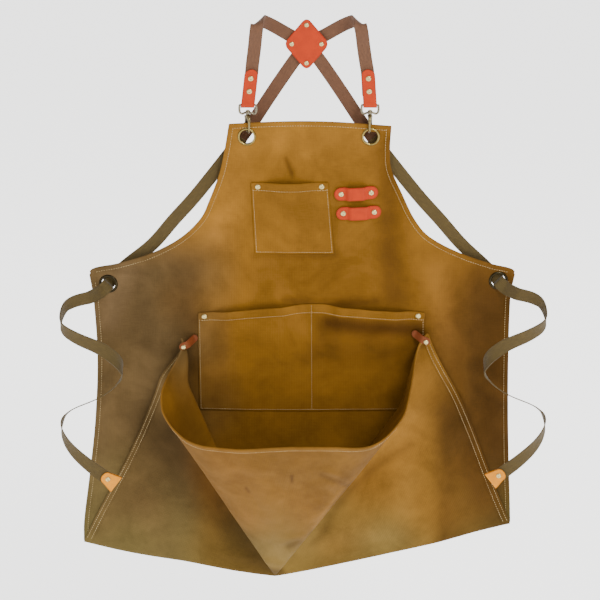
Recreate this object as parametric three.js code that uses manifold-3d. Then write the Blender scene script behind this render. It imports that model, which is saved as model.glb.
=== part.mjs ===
// A woodworking apron of waxed canvas, hanging from its crossed shoulder straps.
// Millimetres, +Z up, the front faces -Y. Left and right in the names are as seen from the front, right is +X.
// The origin lies midway between the two bends of the shoulder straps, where shoulders carry them.
import * as THREE from "three";
import { mergeVertices } from "three/addons/utils/BufferGeometryUtils.js";
import Module from "manifold-3d";

const wasm = await Module();
wasm.setup();

// Driving sizes of the apron sheet
const clothThickness = 1.6;
const hemThickness = 1.0;
const hemWidth = 11;
const fitGap = 0.3;
const patchGap = 0.6;
const waistHalfWidth = 340;
const bibTopZ = -155;
const foldLowestZ = -940;
const sheetFrontY = -7;
const waistWrap = 20;
const rippleDepth = 3.2;

// Driving sizes of the turned-up flap that forms the pouch
const flapHeight = 352;
const flapHemFall = 50;
const flapLeftWidth = 320;
const flapRightWidth = 392;
const flapLeftTilt = THREE.MathUtils.degToRad(9.5);
const flapRightTilt = THREE.MathUtils.degToRad(12.8);
const foldGap = 1.2;
const foldLowestX = -53;

// Driving sizes of webbing, leather and metal
const webWidth = 20.6;
const webThickness = 1.6;
const leatherThickness = 2.2;
const eyeletBoreRadius = 11.2;
const eyeletFlange = 3.2;
const eyeletWall = 1.0;
const eyeletLip = 1.5;
const eyeletSides = 16;
const rivetRadius = 4.2;
const rivetHeight = 1.8;
const rivetSides = 8;
const wireRadius = 1.7;
const hookWireRadius = 1.7;

// Finishes
const finish = (color, roughness, metalness = 0) =>
  new THREE.MeshStandardMaterial({ color, roughness, metalness });
const canvas = finish(0x8a6530, 0.85);
const canvasReverse = finish(0x7a6a35, 0.88);
const redLeather = finish(0xc44a33, 0.6);
const goldLeather = finish(0xe0a040, 0.6);
const tabLeather = finish(0x8a4a25, 0.65);
const brownWebbing = finish(0x7c563f, 0.9);
const oliveWebbing = finish(0x5a4f30, 0.9);
const paleBrass = finish(0xe6d9a8, 0.35, 0.9);
const agedBrass = finish(0xa89a6a, 0.4, 0.9);
const steel = finish(0x9a9384, 0.35, 0.95);

const part = new THREE.Group();

function add(name, geometry, material, holder = part) {
  const mesh = new THREE.Mesh(geometry, material);
  mesh.name = name;
  holder.add(mesh);
  return mesh;
}

// Small helpers for tables, solids and closed skins

function smoothRow(table, key, at, column) {
  const last = table.length - 1;
  if (at <= table[0][key]) return table[0][column];
  if (at >= table[last][key]) return table[last][column];
  let i = 0;
  while (at > table[i + 1][key]) i += 1;
  const before = table[Math.max(0, i - 1)];
  const low = table[i];
  const high = table[i + 1];
  const after = table[Math.min(last, i + 2)];
  const span = high[key] - low[key];
  const share = (at - low[key]) / span;
  const slopeLow = (high[column] - before[column]) / (high[key] - before[key]);
  const slopeHigh = (after[column] - low[column]) / (after[key] - low[key]);
  const s2 = share * share;
  const s3 = s2 * share;
  return (
    (2 * s3 - 3 * s2 + 1) * low[column] +
    (s3 - 2 * s2 + share) * span * slopeLow +
    (3 * s2 - 2 * s3) * high[column] +
    (s3 - s2) * span * slopeHigh
  );
}

function smoothStep(share) {
  const s = Math.min(1, Math.max(0, share));
  return s * s * (3 - 2 * s);
}

function closedSkin(points, faces) {
  const geometry = new THREE.BufferGeometry();
  geometry.setAttribute("position", new THREE.Float32BufferAttribute(points.flat(), 3));
  let volume = 0;
  for (const [a, b, c] of faces) {
    const corner = new THREE.Vector3(...points[a]);
    const cross = new THREE.Vector3(...points[b]).cross(new THREE.Vector3(...points[c]));
    volume += corner.dot(cross);
  }
  const outward = volume > 0 ? faces : faces.map(([a, b, c]) => [a, c, b]);
  geometry.setIndex(outward.flat());
  geometry.computeVertexNormals();
  return geometry;
}

function solidOf(geometry) {
  const bare = geometry.clone();
  bare.deleteAttribute("normal");
  bare.deleteAttribute("uv");
  const merged = mergeVertices(bare, 1e-4);
  return new wasm.Manifold(
    new wasm.Mesh({
      numProp: 3,
      vertProperties: merged.attributes.position.array,
      triVerts: new Uint32Array(merged.index.array),
    }),
  );
}

function geometryOf(solid) {
  const mesh = solid.getMesh();
  const geometry = new THREE.BufferGeometry();
  geometry.setAttribute("position", new THREE.Float32BufferAttribute(mesh.vertProperties, 3));
  geometry.setIndex(Array.from(mesh.triVerts));
  geometry.computeVertexNormals();
  return geometry;
}

function joined(...geometries) {
  const [first, ...others] = geometries.map(solidOf);
  return geometryOf(others.reduce((whole, piece) => whole.add(piece), first));
}

function cutBy(geometry, ...tools) {
  return geometryOf(tools.map(solidOf).reduce((left, tool) => left.subtract(tool), solidOf(geometry)));
}

// A sheet with the middle surface middle(u, v) and a thickness on each side of it.
function sheetSkin(middle, columns, rows, thickness) {
  const step = 1e-3;
  const surface = (u, v) => new THREE.Vector3(...middle(u, v));
  const points = [];
  for (const side of [-1, 1]) {
    for (const v of rows) {
      for (const u of columns) {
        const alongU = surface(Math.min(1, u + step), v).sub(surface(Math.max(0, u - step), v));
        const alongV = surface(u, Math.min(1, v + step)).sub(surface(u, Math.max(0, v - step)));
        const normal = alongU.cross(alongV).normalize();
        const [front, back] = thickness(u, v);
        const reach = side < 0 ? -front : back;
        points.push(surface(u, v).addScaledVector(normal, reach).toArray());
      }
    }
  }
  const wide = columns.length;
  const tall = rows.length;
  const at = (side, i, j) => side * wide * tall + j * wide + i;
  const faces = [];
  const quad = (a, b, c, d) => faces.push([a, b, c], [a, c, d]);
  for (let j = 0; j + 1 < tall; j += 1) {
    for (let i = 0; i + 1 < wide; i += 1) {
      quad(at(0, i, j), at(0, i, j + 1), at(0, i + 1, j + 1), at(0, i + 1, j));
      quad(at(1, i, j), at(1, i + 1, j), at(1, i + 1, j + 1), at(1, i, j + 1));
    }
  }
  for (let i = 0; i + 1 < wide; i += 1) {
    quad(at(0, i, 0), at(0, i + 1, 0), at(1, i + 1, 0), at(1, i, 0));
    quad(at(0, i, tall - 1), at(1, i, tall - 1), at(1, i + 1, tall - 1), at(0, i + 1, tall - 1));
  }
  for (let j = 0; j + 1 < tall; j += 1) {
    quad(at(0, 0, j), at(1, 0, j), at(1, 0, j + 1), at(0, 0, j + 1));
    quad(at(0, wide - 1, j), at(0, wide - 1, j + 1), at(1, wide - 1, j + 1), at(1, wide - 1, j));
  }
  return closedSkin(points, faces);
}

const evenly = (count, from = 0, to = 1) =>
  Array.from({ length: count + 1 }, (_, i) => from + ((to - from) * i) / count);

// A flat strip along stations { at, across, width }, of one thickness.
function stripSkin(stations, thickness) {
  const points = [];
  stations.forEach((station, i) => {
    const before = stations[Math.max(0, i - 1)].at;
    const after = stations[Math.min(stations.length - 1, i + 1)].at;
    const along = after.clone().sub(before).normalize();
    const across = station.across.clone().addScaledVector(along, -station.across.dot(along)).normalize();
    const normal = across.clone().cross(along);
    for (const [a, n] of [[-1, -1], [1, -1], [1, 1], [-1, 1]]) {
      const corner = station.at
        .clone()
        .addScaledVector(across, (a * station.width) / 2)
        .addScaledVector(normal, (n * thickness) / 2);
      points.push(corner.toArray());
    }
  });
  const faces = [];
  const quad = (a, b, c, d) => faces.push([a, b, c], [a, c, d]);
  // Both faces of the strip are parted along the same diagonal, so that a twist keeps its thickness.
  for (let i = 0; i + 1 < stations.length; i += 1) {
    const here = 4 * i;
    const there = here + 4;
    quad(here, here + 1, there + 1, there);
    quad(here + 1, here + 2, there + 2, there + 1);
    quad(here + 3, there + 3, there + 2, here + 2);
    quad(here + 3, here, there, there + 3);
  }
  const end = 4 * (stations.length - 1);
  quad(0, 3, 2, 1);
  quad(end, end + 1, end + 2, end + 3);
  return closedSkin(points, faces);
}

// Even stations along a smooth run through a table of places and width directions.
function smoothRun(table, stepsEach, width) {
  const places = new THREE.CatmullRomCurve3(
    table.map((row) => new THREE.Vector3(...row.at)),
    false,
    "centripetal",
  );
  const widths = new THREE.CatmullRomCurve3(
    table.map((row) => new THREE.Vector3(...row.across).normalize()),
    false,
    "centripetal",
  );
  const steps = stepsEach * (table.length - 1);
  return evenly(steps).map((share) => ({
    at: places.getPoint(share),
    across: widths.getPoint(share).normalize(),
    width,
  }));
}

// A closed ring of round wire along a closed curve.
function wireRing(curve, radius, steps, sides) {
  const frames = curve.computeFrenetFrames(steps, true);
  const points = [];
  const faces = [];
  for (let i = 0; i < steps; i += 1) {
    const centre = curve.getPointAt(i / steps);
    for (let k = 0; k < sides; k += 1) {
      const turn = (2 * Math.PI * k) / sides;
      const rim = centre
        .clone()
        .addScaledVector(frames.normals[i], Math.cos(turn) * radius)
        .addScaledVector(frames.binormals[i], Math.sin(turn) * radius);
      points.push(rim.toArray());
      const next = (i + 1) % steps;
      const beside = (k + 1) % sides;
      faces.push([i * sides + k, next * sides + k, next * sides + beside]);
      faces.push([i * sides + k, next * sides + beside, i * sides + beside]);
    }
  }
  return closedSkin(points, faces);
}

function roundSection(halfWide, halfDeep, sides) {
  const shape = new THREE.Shape();
  for (let k = 0; k < sides; k += 1) {
    const turn = (2 * Math.PI * k) / sides;
    const x = Math.cos(turn) * halfWide;
    const y = Math.sin(turn) * halfDeep;
    if (k === 0) shape.moveTo(x, y);
    else shape.lineTo(x, y);
  }
  shape.closePath();
  return shape;
}

function upright(radius, height, x, y, z, sides = 14) {
  return new THREE.CylinderGeometry(radius, radius, height, sides).rotateX(Math.PI / 2).translate(x, y, z);
}

function crosswise(radius, length, x, y, z, sides = 12) {
  return new THREE.CylinderGeometry(radius, radius, length, sides).rotateZ(Math.PI / 2).translate(x, y, z);
}

// A plate drawn in X and Z and standing between y and y + depth.
function standingPlate(shape, depth, y) {
  const plate = new THREE.ExtrudeGeometry(shape, { depth, bevelEnabled: false, curveSegments: 5 });
  return plate.rotateX(Math.PI / 2).translate(0, y + depth, 0);
}

// The apron sheet
// Each row of the side table gives its height and both edges, as shares of the waist half width.
// down is 0 at the bib's top edge and 1 at the lowest point of the fold.
const sheetHeight = bibTopZ - foldLowestZ;
const sideRows = [
  { row: 0.0, leftDown: 0.0045, left: -0.357, rightDown: 0.009, right: 0.384 },
  { row: 0.06, leftDown: 0.058, left: -0.378, rightDown: 0.058, right: 0.379 },
  { row: 0.1, leftDown: 0.105, left: -0.402, rightDown: 0.099, right: 0.387 },
  { row: 0.15, leftDown: 0.162, left: -0.45, rightDown: 0.152, right: 0.439 },
  { row: 0.2, leftDown: 0.205, left: -0.498, rightDown: 0.205, right: 0.5 },
  { row: 0.24, leftDown: 0.245, left: -0.592, rightDown: 0.243, right: 0.574 },
  { row: 0.28, leftDown: 0.28, left: -0.735, rightDown: 0.28, right: 0.725 },
  { row: 0.31, leftDown: 0.303, left: -0.89, rightDown: 0.304, right: 0.87 },
  { row: 0.33, leftDown: 0.318, left: -1.016, rightDown: 0.318, right: 0.972 },
  { row: 0.345, leftDown: 0.345, left: -1.018, rightDown: 0.34, right: 0.972 },
  { row: 0.37, leftDown: 0.372, left: -1.009, rightDown: 0.365, right: 0.961 },
  { row: 0.5, leftDown: 0.5, left: -0.998, rightDown: 0.5, right: 0.96 },
  { row: 0.65, leftDown: 0.645, left: -1.018, rightDown: 0.63, right: 0.968 },
  { row: 0.8, leftDown: 0.775, left: -1.056, rightDown: 0.75, right: 0.98 },
  { row: 0.93, leftDown: 0.885, left: -1.092, rightDown: 0.845, right: 0.993 },
];
// The bib's top edge bows up by this share of the sheet's height.
const topRise = 0.0085;
// The fold's lowest point is rounded by this much over this length.
const tipSoftness = { height: 2.4, length: 28 };

function tipRise(across) {
  return tipSoftness.height * Math.exp(-Math.abs(across) / tipSoftness.length);
}

function foldZ(x) {
  const across = x - foldLowestX;
  const tilt = across < 0 ? flapLeftTilt : flapRightTilt;
  return foldLowestZ + Math.abs(across) * Math.tan(tilt) + tipRise(across);
}

const foldLeftX = foldLowestX - flapLeftWidth;
const foldRightX = foldLowestX + flapRightWidth;
sideRows.push({
  row: 1,
  leftDown: (bibTopZ - foldZ(foldLeftX)) / sheetHeight,
  left: foldLeftX / waistHalfWidth,
  rightDown: (bibTopZ - foldZ(foldRightX)) / sheetHeight,
  right: foldRightX / waistHalfWidth,
});

// Long soft folds hang below the waist; they fade out at the bib and the pockets.
function ripple(x, z) {
  const low = smoothStep((-z - 480) / 300);
  const side = smoothStep((Math.abs(x) / waistHalfWidth - 0.35) / 0.4);
  return rippleDepth * low * side * Math.sin((x / waistHalfWidth) * 9);
}

function sheetFront(x, z) {
  const share = x / waistHalfWidth;
  return sheetFrontY + waistWrap * share * share + ripple(x, z);
}

function sheetMiddle(u, v) {
  const left = smoothRow(sideRows, "row", v, "left") * waistHalfWidth;
  const right = smoothRow(sideRows, "row", v, "right") * waistHalfWidth;
  const leftZ = bibTopZ - smoothRow(sideRows, "row", v, "leftDown") * sheetHeight;
  const rightZ = bibTopZ - smoothRow(sideRows, "row", v, "rightDown") * sheetHeight;
  const x = left + (right - left) * u;
  const corners = leftZ + (rightZ - leftZ) * u;
  const cornerAtFold = foldZ(left) + (foldZ(right) - foldZ(left)) * u;
  const dip = (foldZ(x) - cornerAtFold) * Math.pow(v, 3);
  const bow = Math.sin(Math.PI * u) * topRise * sheetHeight * Math.pow(1 - v, 6);
  const z = corners + dip + bow + 2 * fitGap * Math.pow(v, 12);
  return [x, sheetFront(x, z) + clothThickness / 2, z];
}

function bandedShares(count, band) {
  return [0, band, ...evenly(count, band * 2, 1 - band * 2), 1 - band, 1];
}

const sheetColumns = bandedShares(10, hemWidth / (2 * waistHalfWidth));
const armholeEnd = 0.35;
const sheetRows = [0, hemWidth / sheetHeight];
sideRows.slice(1).forEach(({ row }, i) => {
  const last = i === 0 ? hemWidth / sheetHeight : sideRows[i].row;
  if (row < armholeEnd) sheetRows.push((last + row) / 2);
  sheetRows.push(row);
});

function sheetThickness(u, v) {
  const band = (hemWidth + 0.1) / (2 * waistHalfWidth);
  const nearEdge = u <= band || u >= 1 - band || v <= (hemWidth + 0.1) / sheetHeight;
  const back = clothThickness / 2 + (nearEdge ? hemThickness : 0);
  return [clothThickness / 2, back];
}

// Eyelets: place on the sheet, tilted with it
const eyelets = [
  { name: "bib_eyelet_left", x: -94.2, z: -178 },
  { name: "bib_eyelet_right", x: 99.2, z: -178 },
  { name: "waist_eyelet_left", x: -318.5, z: -427 },
  { name: "waist_eyelet_right", x: 306.5, z: -421 },
];
const eyeletTubeRadius = eyeletBoreRadius + eyeletWall;
const eyeletHoleRadius = eyeletTubeRadius + fitGap;
const eyeletOuterRadius = eyeletTubeRadius + eyeletFlange;

function faceTurn(x, z) {
  const step = 1;
  const slope = (sheetFront(x + step, z) - sheetFront(x - step, z)) / (2 * step);
  return new THREE.Quaternion().setFromUnitVectors(
    new THREE.Vector3(0, -1, 0),
    new THREE.Vector3(slope, -1, 0).normalize(),
  );
}

function seatOn(geometry, x, z, proud = 0) {
  geometry.applyQuaternion(faceTurn(x, z));
  return geometry.translate(x, sheetFront(x, z) - proud, z);
}

const holeTools = eyelets.map(({ x, z }) => {
  const tool = new THREE.CylinderGeometry(eyeletHoleRadius, eyeletHoleRadius, 30, eyeletSides);
  tool.rotateY(Math.PI / eyeletSides);
  return seatOn(tool, x, z);
});
const sheet = sheetSkin(sheetMiddle, sheetColumns, sheetRows, sheetThickness);
add("apron_body", cutBy(sheet, ...holeTools), canvas);

const eyeletBack = clothThickness + hemThickness + fitGap;
for (const { name, x, z } of eyelets) {
  const profile = [
    [eyeletBoreRadius, -fitGap - eyeletLip * 0.7],
    [eyeletTubeRadius + eyeletFlange * 0.35, -fitGap - eyeletLip],
    [eyeletOuterRadius, -fitGap],
    [eyeletTubeRadius, -fitGap],
    [eyeletTubeRadius, eyeletBack],
    [eyeletOuterRadius - eyeletWall, eyeletBack],
    [eyeletOuterRadius - eyeletWall, eyeletBack + eyeletWall],
    [eyeletBoreRadius, eyeletBack + eyeletWall],
    [eyeletBoreRadius, -fitGap - eyeletLip * 0.7],
  ];
  const ring = new THREE.LatheGeometry(profile.map(([r, y]) => new THREE.Vector2(r, y)), eyeletSides);
  ring.rotateY(Math.PI / eyeletSides);
  add(name, seatOn(ring, x, z), agedBrass);
}

// The flap is a sheet wrapped on a cone whose tip is the lowest point of the fold.
// Each row of the table turns a direction in the flat cloth into one in space, all in degrees:
// cloth counts from straight down the flat sheet, lean from straight up, forward towards the wearer's front.
const flapDirections = [
  { cloth: -99.5, lean: -80.5, forward: 0 },
  { cloth: -78, lean: -56, forward: 0 },
  { cloth: -60, lean: -37.5, forward: 0.5 },
  { cloth: -49, lean: -26.5, forward: 2 },
  { cloth: -42.5, lean: -22, forward: 4.5 },
  { cloth: -36, lean: -24.5, forward: 9.5 },
  { cloth: -28, lean: -27, forward: 16.5 },
  { cloth: -16, lean: -23, forward: 24 },
  { cloth: -4, lean: -12, forward: 28 },
  { cloth: 8, lean: 1, forward: 29 },
  { cloth: 20, lean: 15, forward: 28.5 },
  { cloth: 30, lean: 26, forward: 26 },
  { cloth: 38, lean: 30.3, forward: 19.5 },
  { cloth: 46, lean: 31.8, forward: 10 },
  { cloth: 53, lean: 33.5, forward: 2.2 },
  { cloth: 75, lean: 53, forward: 0 },
  { cloth: 102.8, lean: 77.2, forward: 0 },
];
const sidePull = { left: 18, right: 8 };
const cornerPulls = [
  { across: -1, move: [28, 34, -13], reach: 100 },
  { across: 1, move: [-22, 22, 20], reach: 125 },
];
// Over the lower pocket the flap lies farther from the sheet, by the pocket's own thickness.
const pocketBaseZ = -640;
const pocketStand = clothThickness + patchGap + 2 * fitGap;

function flapLift(z) {
  const overPocket = smoothStep((z - pocketBaseZ + 90) / 60);
  return foldGap + clothThickness / 2 + pocketStand * overPocket;
}

function flapHem(across) {
  const share = smoothStep((across / flapRightWidth - 0.15) / 0.85);
  return flapHeight - flapHemFall * share;
}

function flapFold(across) {
  return -Math.abs(across) * Math.tan(across < 0 ? flapLeftTilt : flapRightTilt);
}

// across runs sideways in the flat cloth and down runs from the tip's level towards the hem.
function flapPlace(across, down) {
  const radius = Math.hypot(across, down);
  const cloth = THREE.MathUtils.radToDeg(Math.atan2(across, down));
  const lean = THREE.MathUtils.degToRad(smoothRow(flapDirections, "cloth", cloth, "lean"));
  const forward = THREE.MathUtils.degToRad(smoothRow(flapDirections, "cloth", cloth, "forward"));
  let x = foldLowestX + radius * Math.sin(lean) * Math.cos(forward);
  let z = foldLowestZ + radius * Math.cos(lean) * Math.cos(forward);
  let ahead = radius * Math.sin(forward);
  for (const pull of cornerPulls) {
    const corner = pull.across < 0 ? -flapLeftWidth : flapRightWidth;
    const away = Math.hypot(across - corner, down - flapHem(corner)) / pull.reach;
    const share = away < 1 ? Math.pow(1 - away * away, 2) : 0;
    x += pull.move[0] * share;
    ahead -= pull.move[1] * share;
    z += pull.move[2] * share;
  }
  const up = (down - flapFold(across)) / (flapHem(across) - flapFold(across));
  const belly = Math.sin(Math.PI * Math.min(1, Math.max(0, up)));
  if (across < 0) x += sidePull.left * belly * Math.pow(-across / flapLeftWidth, 3);
  else x += sidePull.right * belly * Math.pow(across / flapRightWidth, 4);
  z += tipRise(across) * Math.pow(1 - Math.min(1, up), 8);
  return { x, z, ahead: Math.max(0, ahead) };
}

// The sheet's columns run from the fold to the hem, and those of the pouch's belly start close to the tip,
// so that they lie along its creases.
const bellyShare = 0.7;
const tipSpread = 0.07;

function foldAcross(hemAcross) {
  const width = hemAcross < 0 ? flapLeftWidth : flapRightWidth;
  const share = Math.abs(hemAcross) / width;
  const outside = Math.pow(Math.max(0, (share - bellyShare) / (1 - bellyShare)), 1.15);
  return Math.sign(hemAcross) * width * (tipSpread * share + (1 - tipSpread) * outside);
}

// The first rows make the half turn of the fold under the sheet's lower edge.
const foldTurnShare = 0.02;
function flapMiddle(u, v) {
  const hemAcross = -flapLeftWidth + (flapLeftWidth + flapRightWidth) * u;
  const foldAt = foldAcross(hemAcross);
  if (v < foldTurnShare) {
    const turn = Math.PI * (1 - v / foldTurnShare);
    const start = flapPlace(foldAt, flapFold(foldAt));
    const radius = (flapLift(start.z) + clothThickness / 2) / 2;
    const middleY = sheetFront(start.x, start.z) + clothThickness / 2 - radius;
    return [start.x, middleY - radius * Math.cos(turn), start.z - radius * Math.sin(turn)];
  }
  const up = (v - foldTurnShare) / (1 - foldTurnShare);
  const across = foldAt + (hemAcross - foldAt) * up;
  const down = flapFold(foldAt) + (flapHem(hemAcross) - flapFold(foldAt)) * up;
  const { x, z, ahead } = flapPlace(across, down);
  return [x, sheetFront(x, z) - flapLift(z) - ahead, z];
}

const flapColumns = bandedShares(34, hemWidth / (flapLeftWidth + flapRightWidth));
const flapRows = [0, 0.007, 0.014, ...evenly(8, foldTurnShare, 1 - hemWidth / flapHeight), 1];
function flapThickness(u, v) {
  const band = (hemWidth + 0.1) / (flapLeftWidth + flapRightWidth);
  const nearEdge = v > 0.1 && (u <= band || u >= 1 - band || v >= 1 - (hemWidth + 0.1) / flapHeight);
  return [clothThickness / 2, clothThickness / 2 + (nearEdge ? 0.6 * hemThickness : 0)];
}
add("pouch_flap", sheetSkin(flapMiddle, flapColumns, flapRows, flapThickness), canvasReverse);

// Pockets are patches that stand off the sheet by a gap, and belly out at their mouths.
// centreX and halfWidth are at the mouth, baseShift moves the lower end sideways.
const bibPocket = {
  centreX: -27.7,
  halfWidth: 60.5,
  mouthZ: -252.5,
  baseZ: -369.5,
  baseShift: 7.7,
  baseHalf: 62.6,
};
const lowerPocket = {
  centreX: 7,
  halfWidth: 182,
  mouthZ: -472,
  baseZ: pocketBaseZ,
  baseShift: 1,
  baseHalf: 183,
};
const bibPocketBelly = 8;
const lowerPocketBelly = 10.5;
const seamRise = 16;

function pocketPlace(pocket, bellyAt, riseAt, u, v) {
  const half = pocket.halfWidth + (pocket.baseHalf - pocket.halfWidth) * v;
  const x = pocket.centreX + pocket.baseShift * v + half * (2 * u - 1);
  const z = pocket.mouthZ + (pocket.baseZ - pocket.mouthZ) * v + riseAt(u) * (1 - v);
  const off = patchGap + clothThickness / 2 + bellyAt(u, v);
  return [x, sheetFront(x, z) - off, z];
}

// Beside each seam a margin lies flat, and takes the rivet.
const seamMargin = 17;
const bellyRun = 34;
const mouthFade = (v) => Math.pow(Math.cos((Math.PI / 2) * Math.min(1, v * 1.15)), 1.4);
const bellyFrom = (away) => smoothStep((away - seamMargin) / bellyRun);

function bibBelly(u, v) {
  const away = Math.min(u, 1 - u) * 2 * bibPocket.halfWidth;
  return bibPocketBelly * bellyFrom(away) * mouthFade(v);
}

function lowerBelly(u, v) {
  const away = Math.min(u, 1 - u, Math.abs(u - 0.5)) * 2 * lowerPocket.halfWidth;
  return lowerPocketBelly * bellyFrom(away) * mouthFade(v);
}

const flatRise = () => 0;
const lowerRise = (u) => seamRise * (1 - Math.pow(Math.abs(2 * u - 1), 1.4));
const patchThickness = () => [clothThickness / 2, clothThickness / 2];
const pocketRows = [0, 0.08, ...evenly(4, 0.25, 1)];

const bibPocketMiddle = (u, v) => pocketPlace(bibPocket, bibBelly, flatRise, u, v);
const lowerPocketMiddle = (u, v) => pocketPlace(lowerPocket, lowerBelly, lowerRise, u, v);
add("bib_pocket", sheetSkin(bibPocketMiddle, evenly(10), pocketRows, patchThickness), canvas);
add("lower_pocket", sheetSkin(lowerPocketMiddle, evenly(16), pocketRows, patchThickness), canvas);

// Rivets: low domes whose flat base lies on what they hold

function rivetCap(radius = rivetRadius, height = rivetHeight) {
  const profile = [
    [0, -height],
    [radius * 0.62, -height * 0.85],
    [radius, 0],
    [0, 0],
  ];
  return new THREE.LatheGeometry(profile.map(([r, y]) => new THREE.Vector2(r, y)), rivetSides);
}

function rivetOn(name, x, z, proud) {
  return add(name, seatOn(rivetCap(), x, z, proud + rivetGap), paleBrass);
}

// Pocket rivets stand this far in from the side seam and under the mouth.
const pocketRivetIn = 10.5;
const pocketRivetDown = 6;
const patchFace = patchGap + clothThickness;
const rivetGap = 2.5 * fitGap;
for (const [name, pocket] of [["bib_pocket", bibPocket], ["lower_pocket", lowerPocket]]) {
  for (const [side, sign] of [["left", -1], ["right", 1]]) {
    const x = pocket.centreX + sign * (pocket.halfWidth - pocketRivetIn);
    rivetOn(`${name}_rivet_${side}`, x, pocket.mouthZ - pocketRivetDown, patchFace);
  }
}

// Tool loops: leather strips with round ends, held by a rivet at each end and standing off between them
const toolLoopHeight = 21;
const toolLoopBelly = 5.8;
const toolLoopInset = 11;
const toolLoops = [
  { name: "tool_loop_upper", leftX: 42.6, rightX: 111.6, leftZ: -271.2, rightZ: -268.4 },
  { name: "tool_loop_lower", leftX: 46, rightX: 116.8, leftZ: -303.2, rightZ: -300.4 },
];
const roundEnd = [
  { share: 0, width: 0.52 },
  { share: 0.025, width: 0.74 },
  { share: 0.06, width: 0.9 },
  { share: 0.12, width: 1 },
];
for (const loop of toolLoops) {
  const length = loop.rightX - loop.leftX;
  const flatEnd = (toolLoopInset + rivetRadius) / length;
  const roundedShares = roundEnd.map((row) => row.share);
  const shares = [
    ...roundedShares,
    ...evenly(7, flatEnd, 1 - flatEnd),
    ...roundedShares.map((share) => 1 - share).reverse(),
  ];
  const stations = shares.map((share) => {
    const fromEnd = Math.min(share, 1 - share);
    const x = loop.leftX + length * share;
    const z = loop.leftZ + (loop.rightZ - loop.leftZ) * share;
    const inner = (fromEnd - flatEnd) / (0.5 - flatEnd);
    const off = patchGap + leatherThickness / 2 + toolLoopBelly * smoothStep((inner - 0.05) * 2.2);
    const width = toolLoopHeight * smoothRow(roundEnd, "share", fromEnd, "width");
    return { at: new THREE.Vector3(x, sheetFront(x, z) - off, z), across: new THREE.Vector3(0, 0, 1), width };
  });
  add(loop.name, stripSkin(stations, leatherThickness), redLeather);
  for (const [side, share] of [["left", toolLoopInset / length], ["right", 1 - toolLoopInset / length]]) {
    const x = loop.leftX + length * share;
    const z = loop.leftZ + (loop.rightZ - loop.leftZ) * share;
    rivetOn(`${loop.name}_rivet_${side}`, x, z, patchGap + leatherThickness);
  }
}

// Snap hooks, wire loops and leather tabs; side is -1 on the left and 1 on the right
// hookTurn is how far each hook stands turned on its swivel at rest.
const bibSides = [
  { side: "left", hookX: -92.2, tabTopX: -85.6, hookTurn: 16 },
  { side: "right", hookX: 97.6, tabTopX: 93.6, hookTurn: -4 },
];
const hookY = sheetFrontY + 2.8;
const loopTopZ = -127.2;
const loopLowZ = -141.4;
const loopCollarZ = -139.2;
const loopHalfWidth = 13;
const collar = { radius: 3.8, height: 5, bore: 1.9 };
const swivelPost = { radius: 1.6, headRadius: 2.8, headHeight: 1.4 };
const tabWidth = 21;
const tabTopZ = -70.5;
const tabRivetZ = [-84.5, -105];
const eyeletApothem = eyeletBoreRadius * Math.cos(Math.PI / eyeletSides);
// The hook's lowest bar stays this far under the top of the eyelet's bore, so that it can turn there.
const hookSlack = 1.9;
const hookFrontReach = 7.4;
const hookBackReach = 10.2;
const gatePin = { y: 7.2, z: -147.8, radius: 1.1, length: 7.4 };
const gateCheek = { inner: 1.7, outer: 3.3, radius: 2.6, bore: 1.4 };
const lug = { halfWide: 1.4, topZ: -143.2, lowZ: -149.6 };
const gateBar = { deep: 2.2, lowZ: -162.4 };
const hookTipZ = -159.2;

function wireLoop(centreX) {
  const half = loopHalfWidth;
  const corner = 3.6;
  const topCorner = 1.6;
  const outline = [
    [-half + topCorner, loopTopZ],
    [0, loopTopZ],
    [half - topCorner, loopTopZ],
    [half, loopTopZ - topCorner],
    [half, (loopTopZ + loopLowZ) / 2],
    [half, loopLowZ + corner],
    [half - corner, loopLowZ],
    [half * 0.5, loopCollarZ - 0.8],
    [0, loopCollarZ],
    [-half * 0.5, loopCollarZ - 0.8],
    [-half + corner, loopLowZ],
    [-half, loopLowZ + corner],
    [-half, (loopTopZ + loopLowZ) / 2],
    [-half, loopTopZ - topCorner],
  ];
  const curve = new THREE.CatmullRomCurve3(
    outline.map(([x, z]) => new THREE.Vector3(centreX + x, hookY, z)),
    true,
    "catmullrom",
    0.5,
  );
  const ring = wireRing(curve, wireRadius, 34, 6);
  const boss = upright(collar.radius, collar.height, centreX, hookY, loopCollarZ);
  const bore = upright(collar.bore, collar.height * 2, centreX, hookY, loopCollarZ, 12);
  return cutBy(joined(ring, boss), bore);
}

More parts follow.
